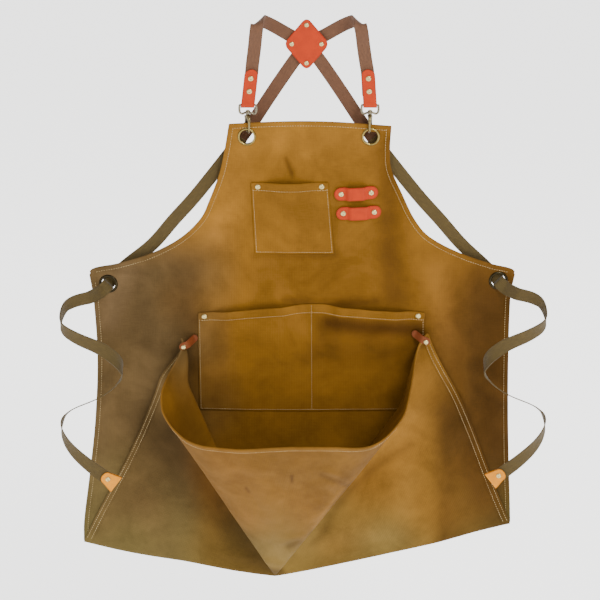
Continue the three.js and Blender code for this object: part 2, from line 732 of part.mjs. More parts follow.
function snapHook() {
  const barTopZ = eyelets[0].z + eyeletApothem - hookSlack;
  const lowZ = barTopZ - hookWireRadius;
  const collarLowZ = loopCollarZ - collar.height / 2;
  const collarTopZ = loopCollarZ + collar.height / 2;
  const bodyTopZ = collarLowZ - fitGap;
  const bodyHeight = 4.4;
  const path = new THREE.CatmullRomCurve3(
    [
      [-0.6, bodyTopZ - 2.6],
      [-4.4, bodyTopZ - 5],
      [-hookFrontReach, bodyTopZ - 10],
      [-hookFrontReach, lowZ + 8],
      [-hookFrontReach + 1.6, lowZ + 2.6],
      [-2.6, lowZ + 0.1],
      [3.4, lowZ],
      [hookBackReach - 2, lowZ + 2.2],
      [hookBackReach, lowZ + 6.2],
      [hookBackReach, hookTipZ],
    ].map(([y, z]) => new THREE.Vector3(0, y, z)),
    false,
    "centripetal",
  );
  const wire = new THREE.ExtrudeGeometry(roundSection(hookWireRadius, hookWireRadius * 1.25, 7), {
    steps: 19,
    extrudePath: path,
  });
  const body = upright(3.6, bodyHeight, 0, 0, bodyTopZ - bodyHeight / 2, 10);
  const post = upright(swivelPost.radius, collar.height + 2, 0, 0, loopCollarZ, 10);
  const headZ = collarTopZ + fitGap + swivelPost.headHeight / 2;
  const head = upright(swivelPost.headRadius, swivelPost.headHeight, 0, 0, headZ, 10);
  const lugDepth = gatePin.y + 2.2;
  const lugHeight = lug.topZ - lug.lowZ;
  const ear = new THREE.BoxGeometry(lug.halfWide * 2, lugDepth, lugHeight);
  ear.translate(0, lugDepth / 2, (lug.topZ + lug.lowZ) / 2);
  const pin = crosswise(gatePin.radius, gatePin.length, 0, gatePin.y, gatePin.z, 12);
  return joined(body, wire, post, head, ear, pin);
}

function hookGate() {
  const outline = new THREE.Shape();
  outline.absarc(0, 0, gateCheek.radius, Math.PI * 1.05, -Math.PI * 0.05, true);
  const barFaceY = hookBackReach - hookWireRadius * 1.25 - fitGap - gatePin.y;
  const lowZ = gateBar.lowZ - gatePin.z;
  outline.lineTo(barFaceY, lowZ + 6);
  outline.lineTo(barFaceY, lowZ);
  outline.lineTo(barFaceY - gateBar.deep, lowZ);
  outline.lineTo(barFaceY - gateBar.deep - 0.4, lowZ + 7);
  outline.closePath();
  const whole = new THREE.ExtrudeGeometry(outline, {
    depth: gateCheek.outer * 2,
    bevelEnabled: false,
    curveSegments: 6,
  });
  whole.translate(0, 0, -gateCheek.outer);
  whole.applyMatrix4(new THREE.Matrix4().set(0, 0, 1, 0, 1, 0, 0, gatePin.y, 0, 1, 0, gatePin.z, 0, 0, 0, 1));
  const slotHeight = gatePin.z - lug.lowZ + gateCheek.radius + 3;
  const slot = new THREE.BoxGeometry(gateCheek.inner * 2, gateCheek.radius * 6, slotHeight);
  slot.translate(0, gatePin.y, gatePin.z + gateCheek.radius + 1 - slotHeight / 2);
  const bore = crosswise(gateCheek.bore, gateCheek.outer * 3, 0, gatePin.y, gatePin.z, 12);
  return cutBy(whole, slot, bore);
}

function leatherTab(topX, lowX) {
  const middle = hookY;
  const closeOff = webThickness / 2 + 1.2 * fitGap + leatherThickness / 2;
  const wideOff = wireRadius + 2 * fitGap + leatherThickness / 2;
  const leg = (sign, down) =>
    [
      { z: tabTopZ, off: closeOff, width: 0.5 },
      { z: tabTopZ - 1.6, off: closeOff, width: 0.78 },
      { z: tabTopZ - 5, off: closeOff, width: 0.97 },
      { z: tabTopZ - 9, off: closeOff, width: 1 },
      { z: loopTopZ + 22, off: closeOff, width: 1 },
      { z: loopTopZ + 9, off: closeOff, width: 1 },
      { z: loopTopZ + 3, off: wideOff - 0.2, width: 1 },
      { z: loopTopZ, off: wideOff, width: 1 },
    ].map((row) => ({ y: middle + sign * row.off, z: row.z, width: row.width }));
  const front = leg(-1);
  const back = leg(1).reverse();
  const turn = [0.17, 0.33, 0.5, 0.67, 0.83].map((share) => ({
    y: middle - wideOff * Math.cos(Math.PI * share),
    z: loopTopZ - wideOff * Math.sin(Math.PI * share),
    width: 1,
  }));
  const stations = [...front, ...turn, ...back].map(({ y, z, width }) => {
    const share = (tabTopZ - z) / (tabTopZ - loopTopZ);
    const x = topX + (lowX - topX) * share;
    return { at: new THREE.Vector3(x, y, z), across: new THREE.Vector3(1, 0, 0), width: width * tabWidth };
  });
  return stripSkin(stations, leatherThickness);
}

for (const { side, hookX, tabTopX, hookTurn } of bibSides) {
  add(`d_loop_${side}`, wireLoop(hookX), steel);
  add(`strap_tab_${side}`, leatherTab(tabTopX, hookX), redLeather);
  const swivel = new THREE.Group();
  swivel.position.set(hookX, hookY, 0);
  swivel.rotation.z = THREE.MathUtils.degToRad(hookTurn);
  part.add(swivel);
  add(`snap_hook_${side}`, snapHook(), steel, swivel);
  add(`hook_gate_${side}`, hookGate(), steel, swivel);
  tabRivetZ.forEach((z, i) => {
    const share = (tabTopZ - z) / (tabTopZ - loopTopZ);
    const x = tabTopX + (hookX - tabTopX) * share;
    const y = hookY - webThickness / 2 - fitGap * 2.4 - leatherThickness;
    const cap = rivetCap().translate(x, y, z);
    add(`strap_tab_${side}_rivet_${i === 0 ? "upper" : "lower"}`, cap, paleBrass);
  });
}

// Shoulder straps: from the tab over the shoulder, across the back under the patch, down behind the bib
// The table is drawn for a tab whose top and foot stand this far from the middle, and is shifted to each side's own.
const drawnTab = { topX: 85.6, lowX: 91 };
const shoulderDepth = 15;
const patchCentre = { x: -1, z: -36.4 };
const crossingY = 23;
const sewnY = 9.4;
const strapLayer = webThickness + fitGap;
const shoulderRows = [
  { x: 88.9, y: 0, z: -112, wide: [1, 0, -0.05] },
  { x: 85.6, y: 0, z: -73, wide: [1, 0, -0.06] },
  { x: 84.6, y: 0, z: -63, wide: [1, 0, -0.07] },
  { x: 81.2, y: -0.35, z: -36, wide: [0.99, 0, -0.12] },
  { x: 78.2, y: -0.85, z: -8, wide: [0.93, -0.05, -0.3] },
  { x: 76.6, y: -0.8, z: 1.4, wide: [0.86, -0.1, -0.45] },
  { x: 73.2, y: 0, z: 5.4, wide: [0.68, 0.12, -0.68] },
  { x: 67.6, y: 0.86, z: 1.2, wide: [0.42, 0.12, -0.9] },
  { x: 55, y: 1.4, z: -6.6, wide: [0.47, 0.04, -0.88] },
  { x: 30, y: 1.53, z: -21.5, wide: [0.51, 0, -0.86] },
];

function shoulderStrap(sign, layer, tabTopX, lowX) {
  const shiftTop = Math.abs(tabTopX) - drawnTab.topX;
  const shiftLow = Math.abs(lowX) - drawnTab.lowX;
  const table = shoulderRows.map(({ x, y, z, wide }, i) => {
    const shift = i === 0 ? shiftLow : shiftTop * (1 - i / shoulderRows.length);
    const depth = i < 3 ? hookY : y < 0 ? y * shoulderDepth + hookY * (1 + y) : y * shoulderDepth;
    const settle = i >= 8 ? layer * strapLayer : 0;
    return {
      at: [sign * (x + shift), depth + settle, z],
      across: [sign * wide[0], wide[1], wide[2]],
    };
  });
  const crossing = [
    { x: 4, y: crossingY, z: -37, wide: [0.66, 0, -0.75] },
    { x: -14, y: crossingY, z: -56, wide: [0.78, 0, -0.62] },
    { x: -34, y: crossingY - 0.3, z: -84, wide: [0.82, 0, -0.57] },
    { x: -60, y: crossingY - 5.4, z: -122, wide: [0.82, 0, -0.57] },
    { x: -83.5, y: sewnY + 1.8, z: -157, wide: [0.82, 0, -0.57] },
    { x: -98, y: sewnY + 1, z: -177, wide: [0.82, 0, -0.57] },
    { x: -116, y: sewnY, z: -202, wide: [0.78, 0, -0.62] },
  ];
  for (const { x, y, z, wide } of crossing) {
    table.push({ at: [sign * x, y + layer * strapLayer, z], across: [sign * wide[0], wide[1], wide[2]] });
  }
  return smoothRun(table, 3, webWidth);
}

bibSides.forEach(({ side, tabTopX, hookX }, layer) => {
  const stations = shoulderStrap(layer === 0 ? -1 : 1, layer, tabTopX, hookX);
  add(`shoulder_strap_${side}`, stripSkin(stations, webThickness), brownWebbing);
});

// Cross patch: a rounded diamond of leather in front of the crossing
const patchHalf = { wide: 36, tall: 43 };
const patchCorner = 0.2;
const patchMiddleY = crossingY - webThickness / 2 - leatherThickness / 2 - 3 * fitGap;
const patchRivetShare = { wide: 0.64, tall: 0.7 };

function crossPatch() {
  const corners = [
    [patchHalf.wide, 0],
    [0, patchHalf.tall],
    [-patchHalf.wide, 0],
    [0, -patchHalf.tall],
  ];
  const shape = new THREE.Shape();
  corners.forEach(([x, z], i) => {
    const [beforeX, beforeZ] = corners[(i + 3) % 4];
    const [afterX, afterZ] = corners[(i + 1) % 4];
    const startX = x + (beforeX - x) * patchCorner;
    const startZ = z + (beforeZ - z) * patchCorner;
    if (i === 0) shape.moveTo(startX, startZ);
    else shape.lineTo(startX, startZ);
    shape.quadraticCurveTo(x, z, x + (afterX - x) * patchCorner, z + (afterZ - z) * patchCorner);
  });
  shape.closePath();
  const plate = standingPlate(shape, leatherThickness, patchMiddleY - leatherThickness / 2);
  return plate.translate(patchCentre.x, 0, patchCentre.z);
}

add("cross_patch", crossPatch(), redLeather);
for (const [place, x, z] of [["top", 0, 1], ["right", 1, 0], ["bottom", 0, -1], ["left", -1, 0]]) {
  const cap = rivetCap(rivetRadius * 0.85);
  cap.translate(
    patchCentre.x + x * patchHalf.wide * patchRivetShare.wide,
    patchMiddleY - leatherThickness / 2 - fitGap,
    patchCentre.z + z * patchHalf.tall * patchRivetShare.tall,
  );
  add(`cross_patch_rivet_${place}`, cap, paleBrass);
}

// Waist straps: sewn on behind the bib, out at the armhole, through the waist eyelet and down in a loose curl
// turn counts half turns of the curl from its outermost point; drop is a share of the tail's fall.
const tip = { length: 29, endHalf: 15, neckHalf: 9.6, foldBand: 3.2, grip: 19, rivetAt: 11 };
const tailFall = 314;
const tailOffset = 24;
const tailSway = 49;
const tailDepth = 20;
const tailMiddleY = -41;
const tailDrift = 2.5;
const tailRows = [
  { turn: -0.5, drop: 0.035 },
  { turn: -0.2, drop: 0.073 },
  { turn: 0, drop: 0.146 },
  { turn: 0.37, drop: 0.217 },
  { turn: 0.63, drop: 0.277 },
  { turn: 1, drop: 0.417 },
  { turn: 1.31, drop: 0.545 },
  { turn: 1.5, drop: 0.605 },
  { turn: 1.8, drop: 0.66 },
  { turn: 2, drop: 0.715 },
  { turn: 2.33, drop: 0.85 },
  { turn: 2.6, drop: 0.962 },
  { turn: 2.8, drop: 1.03 },
];
// The curl starts in front of the eyelet and ends where the strap hangs straight into its tip.
const curlTurns = { start: -0.42, end: 2.6 };
// On its way back past the skirt's edge the webbing twists, so that only its edge shows from the front.
// Past the middle of that stretch its other face turns outwards.
const edgeOnTurns = { from: 0.9, middle: 1.5, to: 2.1, ease: 0.3 };
const edgeOnAcross = new THREE.Vector3(0, 0.94, -0.34);

function tailPlace(sign, eyelet, turn) {
  const angle = Math.PI * turn;
  const middleX = eyelet.x + sign * (tailOffset + tailDrift * turn);
  return new THREE.Vector3(
    middleX + sign * tailSway * Math.cos(angle),
    tailMiddleY - tailDepth * Math.sin(angle),
    eyelet.z - tailFall * smoothRow(tailRows, "turn", turn, "drop"),
  );
}

function tailStation(sign, eyelet, turn) {
  const step = 0.01;
  const along = tailPlace(sign, eyelet, turn + step).sub(tailPlace(sign, eyelet, turn - step));
  const outward = new THREE.Vector3(sign * Math.cos(Math.PI * turn), -Math.sin(Math.PI * turn), 0);
  const across = along.clone().cross(outward).multiplyScalar(sign).normalize();
  const { from, middle, to, ease } = edgeOnTurns;
  const edgeOn = smoothStep((turn - from) / ease) * smoothStep((to - turn) / ease);
  if (turn > middle) across.negate();
  across.lerp(edgeOnAcross, edgeOn);
  return { at: tailPlace(sign, eyelet, turn), across, width: webWidth };
}

// Under the bib the waist strap is sewn behind the shoulder strap's end; near its eyelet it bends through the bore.
const sewnGap = 0.3;
const eyeletStandOff = 4.5;
const eyeletBend = 3.6;
const waistRows = [
  { x: 178, y: 9.2, z: -281 },
  { x: 211, y: 11.4, z: -319 },
  { x: 246, y: 14.6, z: -361 },
];

function waistStrap(sign, eyelet, layer) {
  const tilt = { x: 0.69, z: 0.72 };
  const wide = [sign * tilt.x, 0, tilt.z];
  const holeY = sheetFront(eyelet.x, eyelet.z);
  const behindY = holeY + clothThickness + hemThickness + eyeletWall + eyeletStandOff;
  const aheadY = holeY - eyeletLip - eyeletStandOff;
  const reach = Math.abs(eyelet.x);
  const startY = sewnY - strapLayer - sewnGap + layer * strapLayer;
  const rows = [
    { x: 103, y: startY, z: -184 },
    { x: 118, y: startY, z: -204 },
    ...waistRows,
    { x: reach - 26, y: behindY + 0.6, z: eyelet.z + 26 },
  ];
  const table = rows.map(({ x, y, z }) => ({ at: [sign * x, y, z], across: [sign * 0.8, 0, 0.6] }));
  for (const [along, y] of [[-2.4, behindY], [-1, behindY - 1], [-0.1, behindY - 3.4], [0, holeY + 0.6],
    [0.1, aheadY + 3.4], [1, aheadY + 0.8], [2.2, aheadY]]) {
    const x = sign * (reach + along * eyeletBend * tilt.z);
    table.push({ at: [x, y, eyelet.z - along * eyeletBend * tilt.x], across: wide });
  }
  const hidden = smoothRun(table, 2, webWidth);
  const curl = evenly(36, curlTurns.start, curlTurns.end).map((turn) => tailStation(sign, eyelet, turn));
  const last = curl[curl.length - 1];
  const heading = last.at.clone().sub(curl[curl.length - 2].at).normalize();
  const end = { ...last, at: last.at.clone().addScaledVector(heading, tip.grip + 3) };
  return [...hidden, ...curl, end];
}

// Strap tips: a bell-shaped leather piece folded over the strap's end, with one rivet
const tipLayer = 1.8;
const tipThickness = 2 * tipLayer + webThickness + 2 * fitGap;

function strapTip() {
  const shape = new THREE.Shape();
  shape.moveTo(tip.length, -tip.endHalf);
  shape.lineTo(tip.length, tip.endHalf);
  shape.quadraticCurveTo(tip.length * 0.5, tip.endHalf * 0.86, tip.length * 0.3, tip.neckHalf);
  shape.quadraticCurveTo(tip.length * 0.1, tip.neckHalf * 0.9, 0, 0);
  shape.quadraticCurveTo(tip.length * 0.1, -tip.neckHalf * 0.9, tip.length * 0.3, -tip.neckHalf);
  shape.quadraticCurveTo(tip.length * 0.5, -tip.endHalf * 0.86, tip.length, -tip.endHalf);
  const bell = new THREE.ExtrudeGeometry(shape, {
    depth: tipThickness,
    bevelEnabled: false,
    curveSegments: 4,
  });
  bell.translate(0, 0, -tipThickness / 2);
  const slotLength = tip.length - tip.foldBand + 10;
  const slot = new THREE.BoxGeometry(slotLength, tip.endHalf * 4, webThickness + 2 * fitGap);
  slot.translate(tip.length - tip.foldBand - slotLength / 2, 0, 0);
  return cutBy(bell, slot);
}

// Pouch tabs: short leather straps from the lower pocket's side to the flap's upper corner, with a stud
const pouchTab = { width: 12, overCorner: 7, length: 25, rise: 10, beyond: 3.6, clearance: { left: 4, right: 4.8 } };

for (const [sign, eyelet, layer] of [[-1, eyelets[2], 1], [1, eyelets[3], 0]]) {
  const side = sign < 0 ? "left" : "right";
  const stations = waistStrap(sign, eyelet, layer);
  add(`waist_strap_${side}`, stripSkin(stations, webThickness), oliveWebbing);

  const end = stations[stations.length - 1];
  const along = end.at.clone().sub(stations[stations.length - 2].at).normalize();
  const across = end.across.clone().addScaledVector(along, -end.across.dot(along)).normalize();
  const normal = along.clone().cross(across);
  const faceSign = normal.y < 0 ? 1 : -1;
  const start = end.at.clone().addScaledVector(along, -tip.grip);
  const frame = new THREE.Matrix4().makeBasis(along, across, normal).setPosition(start);
  add(`strap_tip_${side}`, strapTip().applyMatrix4(frame), goldLeather);
  const cap = rivetCap().rotateX(faceSign > 0 ? -Math.PI / 2 : Math.PI / 2);
  cap.translate(tip.rivetAt, 0, faceSign * (tipThickness / 2 + fitGap));
  add(`strap_tip_${side}_rivet`, cap.applyMatrix4(frame), paleBrass);

  const total = flapLeftWidth + flapRightWidth;
  const cornerU = sign < 0 ? pouchTab.overCorner / total : 1 - pouchTab.overCorner / total;
  const [cornerX, , cornerZ] = flapMiddle(cornerU, 1 - pouchTab.overCorner / flapHeight);
  const outerEdge = sign < 0 ? 0 : 1;
  const cornerSpots = evenly(4).flatMap((over) => evenly(4).map((down) => [
    outerEdge + (cornerU - outerEdge) * 2.2 * over,
    1 - (2.8 * down * pouchTab.overCorner) / flapHeight,
  ]));
  const flapFace = Math.min(...cornerSpots.map(([u, v]) => flapMiddle(u, v)[1])) - pouchTab.clearance[side];
  const inwardX = -sign * Math.sqrt(pouchTab.length ** 2 - pouchTab.rise ** 2);
  const tabPlaces = [-pouchTab.beyond / pouchTab.length, 0, 0.3, 0.6, 0.8, 1].map((share) => {
    const x = cornerX + inwardX * share;
    const z = cornerZ + pouchTab.rise * share;
    const seatY = sheetFront(x, z) - patchFace - 5 * fitGap - leatherThickness / 2;
    const overY = flapFace - 2 * fitGap - leatherThickness / 2;
    const y = overY + (seatY - overY) * smoothStep((share - 0.3) / 0.6);
    return {
      at: new THREE.Vector3(x, y, z),
      across: new THREE.Vector3(0.3 * sign, 0, 1),
      width: pouchTab.width,
    };
  });
  add(`pouch_tab_${side}`, stripSkin(tabPlaces, leatherThickness), tabLeather);
  const stud = rivetCap().translate(cornerX, tabPlaces[1].at.y - leatherThickness / 2 - fitGap, cornerZ);
  add(`pouch_stud_${side}`, stud, paleBrass);
}

export default part;
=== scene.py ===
import bpy
import math
from mathutils import Matrix, Vector, noise


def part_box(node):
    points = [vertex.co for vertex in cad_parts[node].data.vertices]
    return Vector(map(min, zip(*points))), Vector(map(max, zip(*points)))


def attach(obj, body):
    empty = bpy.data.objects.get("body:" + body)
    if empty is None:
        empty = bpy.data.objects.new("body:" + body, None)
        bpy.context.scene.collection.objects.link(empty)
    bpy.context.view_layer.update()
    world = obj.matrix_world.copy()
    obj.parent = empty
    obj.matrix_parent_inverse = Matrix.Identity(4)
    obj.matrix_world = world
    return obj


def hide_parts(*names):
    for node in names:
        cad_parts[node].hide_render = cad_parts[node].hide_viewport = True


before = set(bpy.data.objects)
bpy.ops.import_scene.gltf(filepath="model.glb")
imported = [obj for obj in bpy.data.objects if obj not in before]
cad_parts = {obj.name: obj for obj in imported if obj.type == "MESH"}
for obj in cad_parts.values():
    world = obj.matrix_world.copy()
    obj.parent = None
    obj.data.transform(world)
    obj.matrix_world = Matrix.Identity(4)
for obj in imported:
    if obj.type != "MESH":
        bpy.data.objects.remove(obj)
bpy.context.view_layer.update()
print("frame loaded:", len(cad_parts), "nodes")

mm = 0.001
root = "apron"

# Small helpers

def deselect():
    if bpy.context.object and bpy.context.object.mode != "OBJECT":
        bpy.ops.object.mode_set(mode="OBJECT")
    bpy.ops.object.select_all(action="DESELECT")


def pick(piece):
    deselect()
    piece.select_set(True)
    bpy.context.view_layer.objects.active = piece


def smoothRow(table, at, column):
    last = len(table) - 1
    if at <= table[0][0]:
        return table[0][column]
    if at >= table[last][0]:
        return table[last][column]
    i = 0
    while at > table[i + 1][0]:
        i += 1
    before, low, high, after = table[max(0, i - 1)], table[i], table[i + 1], table[min(last, i + 2)]
    span = high[0] - low[0]
    s = (at - low[0]) / span
    slopeLow = (high[column] - before[column]) / (high[0] - before[0])
    slopeHigh = (after[column] - low[column]) / (after[0] - low[0])
    s2, s3 = s * s, s * s * s
    return (
        (2 * s3 - 3 * s2 + 1) * low[column]
        + (s3 - 2 * s2 + s) * span * slopeLow
        + (3 * s2 - 2 * s3) * high[column]
        + (s3 - s2) * span * slopeHigh
    )


def smoothStep(share):
    s = min(1.0, max(0.0, share))
    return s * s * (3 - 2 * s)


def evenly(count, low=0.0, high=1.0):
    return [low + (high - low) * i / count for i in range(count + 1)]


def applyModifiers(piece):
    pick(piece)
    for modifier in list(piece.modifiers):
        bpy.ops.object.modifier_apply(modifier=modifier.name)


def shadeSmooth(piece, angle=40):
    pick(piece)
    bpy.ops.object.shade_smooth_by_angle(angle=math.radians(angle))


def finishPiece(piece, material, body=root, nodes=()):
    piece.data.materials.clear()
    piece.data.materials.append(material)
    if nodes:
        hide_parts(*nodes)
    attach(piece, body)
    return piece


# place(u, v) gives millimetres; the grid's own corners run from 0 to 1 both ways
def gridPiece(name, columns, rows, place, uvAt=None, flip=False):
    deselect()
    wide, tall = len(columns), len(rows)
    bpy.ops.mesh.primitive_grid_add(x_subdivisions=wide - 1, y_subdivisions=tall - 1, size=2)
    piece = bpy.context.object
    piece.name = name
    piece.data.name = name
    mesh = piece.data
    spots = []
    for vertex in mesh.vertices:
        i = round((vertex.co.x + 1) / 2 * (wide - 1))
        j = round((vertex.co.y + 1) / 2 * (tall - 1))
        spots.append((columns[i], rows[j]))
    for vertex, (u, v) in zip(mesh.vertices, spots):
        vertex.co = Vector(place(u, v)) * mm
    layer = mesh.uv_layers.active.data
    for loop in mesh.loops:
        u, v = spots[loop.vertex_index]
        layer[loop.index].uv = uvAt(u, v) if uvAt else (u, v)
    if flip:
        mesh.flip_normals()
    mesh.update()
    return piece


def thicken(piece, thickness, offset=-1.0, bevel=0.35, segments=2, angle=50):
    solid = piece.modifiers.new("thickness", "SOLIDIFY")
    solid.thickness = thickness * mm
    solid.offset = offset
    solid.use_even_offset = False
    if bevel:
        edge = piece.modifiers.new("softEdge", "BEVEL")
        edge.width = bevel * mm
        edge.segments = segments
        edge.limit_method = "ANGLE"
        edge.angle_limit = math.radians(angle)
        edge.use_clamp_overlap = True
    applyModifiers(piece)
    shadeSmooth(piece)
    return piece


# A closed band whose section is a loop of (distance from the edge, height over the cloth)
def bandPiece(name, count, surface, section):
    points, faces, uvs = [], [], []
    ring = len(section)
    length = 0.0
    last = None
    for i in range(count + 1):
        share = i / count
        centre = Vector(surface(share, 5.0)[0])
        if last is not None:
            length += (centre - last).length * mm
        last = centre
        for d, h in section:
            spot, normal = surface(share, d)
            points.append((Vector(spot) + Vector(normal) * h) * mm)
            uvs.append((length, d * mm))
    for i in range(count):
        for k in range(ring):
            n = (k + 1) % ring
            faces.append((i * ring + k, i * ring + n, (i + 1) * ring + n, (i + 1) * ring + k))
    faces.append(tuple(range(ring - 1, -1, -1)))
    faces.append(tuple(count * ring + k for k in range(ring)))
    mesh = bpy.data.meshes.new(name)
    mesh.from_pydata(points, [], faces)
    layer = mesh.uv_layers.new(name="UVMap").data
    for loop in mesh.loops:
        layer[loop.index].uv = uvs[loop.vertex_index]
    piece = bpy.data.objects.new(name, mesh)
    bpy.context.scene.collection.objects.link(piece)
    pick(piece)
    bpy.ops.object.mode_set(mode="EDIT")
    bpy.ops.mesh.select_all(action="SELECT")
    bpy.ops.mesh.normals_make_consistent(inside=False)
    bpy.ops.object.mode_set(mode="OBJECT")
    shadeSmooth(piece, 50)
    return piece


# A closed profile of (radius, height) turned about Z
def turnedPiece(name, profile, steps):
    deselect()
    bpy.ops.mesh.primitive_circle_add(vertices=len(profile), radius=1.0, fill_type="NOTHING")
    piece = bpy.context.object
    piece.name = name
    piece.data.name = name
    for vertex, (radius, height) in zip(piece.data.vertices, profile):
        vertex.co = Vector((radius * mm, 0, height * mm))
    bpy.ops.object.mode_set(mode="EDIT")
    bpy.ops.mesh.select_all(action="SELECT")
    bpy.ops.mesh.spin(steps=steps, angle=2 * math.pi, center=(0, 0, 0), axis=(0, 0, 1))
    bpy.ops.mesh.select_all(action="SELECT")
    bpy.ops.mesh.remove_doubles(threshold=0.00001)
    bpy.ops.mesh.normals_make_consistent(inside=False)
    bpy.ops.object.mode_set(mode="OBJECT")
    shadeSmooth(piece, 45)
    return piece


def copyOf(model, name, matrix):
    piece = model.copy()
    piece.data = model.data.copy()
    piece.name = name
    piece.data.name = name
    bpy.context.scene.collection.objects.link(piece)
    piece.data.transform(matrix)
    return piece


# Centripetal curve through a table of points
def curvePoint(points, share):
    last = len(points) - 1
    at = share * last
    i = min(int(math.floor(at)), last - 1)
    weight = at - i
    p1, p2 = points[i], points[i + 1]
    p0 = points[i - 1] if i > 0 else points[0] * 2 - points[1]
    p3 = points[i + 2] if i + 2 <= last else points[last] * 2 - points[last - 1]
    t0, t1, t2 = (math.sqrt((b - a).length) for a, b in ((p0, p1), (p1, p2), (p2, p3)))
    t1 = t1 if t1 > 1e-4 else 1.0
    t0 = t0 if t0 > 1e-4 else t1
    t2 = t2 if t2 > 1e-4 else t1
    m1 = ((p1 - p0) / t0 - (p2 - p0) / (t0 + t1) + (p2 - p1) / t1) * t1
    m2 = ((p2 - p1) / t1 - (p3 - p1) / (t1 + t2) + (p3 - p2) / t2) * t1
    w2, w3 = weight * weight, weight**3
    return p1 * (2 * w3 - 3 * w2 + 1) + m1 * (w3 - 2 * w2 + weight) + p2 * (3 * w2 - 2 * w3) + m2 * (w3 - w2)


# Stitches: one rounded stitch is modelled once and laid along each seam
thread = {"length": 3.0, "pitch": 4.1, "radius": 0.36, "sink": 0.14}


def stitchModel():
    deselect()
    bpy.ops.mesh.primitive_uv_sphere_add(segments=6, ring_count=5, radius=1.0, rotation=(0, math.pi / 2, 0))
    model = bpy.context.object
    bpy.ops.object.transform_apply(location=False, rotation=True, scale=False)
    for vertex in model.data.vertices:
        vertex.co.x *= thread["length"] / 2 * mm
        vertex.co.y *= thread["radius"] * mm
        vertex.co.z *= thread["radius"] * 0.85 * mm
    shape = [v.co.copy() for v in model.data.vertices]
    faces = [tuple(p.vertices) for p in model.data.polygons]
    bpy.data.objects.remove(model)
    return shape, faces


stitchShape, stitchFaces = stitchModel()


# paths: each a list of (point, normal) in millimetres
def stitchPiece(name, paths, scale=1.0):
    points, faces = [], []
    pitch = thread["pitch"] * scale
    for path in paths:
        travelled, target = 0.0, pitch / 2
        for (p, n), (q, m) in zip(path, path[1:]):
            step = (q - p).length
            while step > 1e-6 and travelled + step >= target:
                share = (target - travelled) / step
                spot = p + (q - p) * share
                normal = (n + (m - n) * share).normalized()
                along = (q - p).normalized()
                side = normal.cross(along).normalized()
                up = along.cross(side)
                centre = spot + up * (thread["radius"] * 0.85 - thread["sink"])
                start = len(points)
                for co in stitchShape:
                    points.append(centre * mm + (along * co.x + side * co.y + up * co.z) * scale)
                faces += [tuple(start + k for k in face) for face in stitchFaces]
                target += pitch
            travelled += step
    mesh = bpy.data.meshes.new(name)
    mesh.from_pydata(points, [], faces)
    mesh.update()
    piece = bpy.data.objects.new(name, mesh)
    bpy.context.scene.collection.objects.link(piece)
    pick(piece)
    bpy.ops.object.shade_smooth()
    return piece


# Materials

def nodeGroup(name, inputs, outputs):
    group = bpy.data.node_groups.new(name, "ShaderNodeTree")
    for label, kind, value in inputs:
        socket = group.interface.new_socket(name=label, in_out="INPUT", socket_type=kind)
        if value is not None:
            socket.default_value = value
    for label, kind in outputs:
        group.interface.new_socket(name=label, in_out="OUTPUT", socket_type=kind)
    return group, group.nodes.new("NodeGroupInput"), group.nodes.new("NodeGroupOutput")


def newNode(tree, kind, links=(), **values):
    made = tree.nodes.new(kind)
    for key, value in values.items():
        if key.startswith("in_"):
            made.inputs[int(key[3:])].default_value = value
        else:
            setattr(made, key, value)
    for index, source in links:
        tree.links.new(source, made.inputs[index])
    return made


def mathNode(tree, operation, first, second=None, clamp=False):
    made = tree.nodes.new("ShaderNodeMath")
    made.operation = operation
    made.use_clamp = clamp
    for index, source in enumerate((first, second)):
        if source is None:
            continue
        if isinstance(source, (int, float)):
            made.inputs[index].default_value = source
        else:
            tree.links.new(source, made.inputs[index])
    return made.outputs[0]


def mixColour(tree, share, first, second, blend="MIX"):
    made = tree.nodes.new("ShaderNodeMix")
    made.data_type = "RGBA"
    made.blend_type = blend
    for index, source in ((0, share), (6, first), (7, second)):
        if isinstance(source, (int, float)):
            made.inputs[index].default_value = source
        elif isinstance(source, tuple):
            made.inputs[index].default_value = source
        else:
            tree.links.new(source, made.inputs[index])
    return made.outputs[2]


def stretched(tree, source, scale, rotation=(0, 0, 0)):
    made = newNode(tree, "ShaderNodeMapping", [(0, source)])
    made.inputs["Scale"].default_value = scale
    made.inputs["Rotation"].default_value = rotation
    return made.outputs[0]


def noiseOf(tree, vector, scale, detail=3.0, roughness=0.55, distortion=0.0):
    made = newNode(tree, "ShaderNodeTexNoise", [(0, vector)])
    made.inputs["Scale"].default_value = scale
    made.inputs["Detail"].default_value = detail
    made.inputs["Roughness"].default_value = roughness
    made.inputs["Distortion"].default_value = distortion
    return made.outputs[0]


def ranged(tree, value, low, high, toLow=0.0, toHigh=1.0):
    made = newNode(tree, "ShaderNodeMapRange", [(0, value)], interpolation_type="SMOOTHSTEP")
    for index, number in ((1, low), (2, high), (3, toLow), (4, toHigh)):
        made.inputs[index].default_value = number
    return made.outputs[0]


def srgb(red, green, blue):
    def linear(c):
        c /= 255
        return c / 12.92 if c <= 0.04045 else ((c + 0.055) / 1.055) ** 2.4
    return (linear(red), linear(green), linear(blue), 1.0)


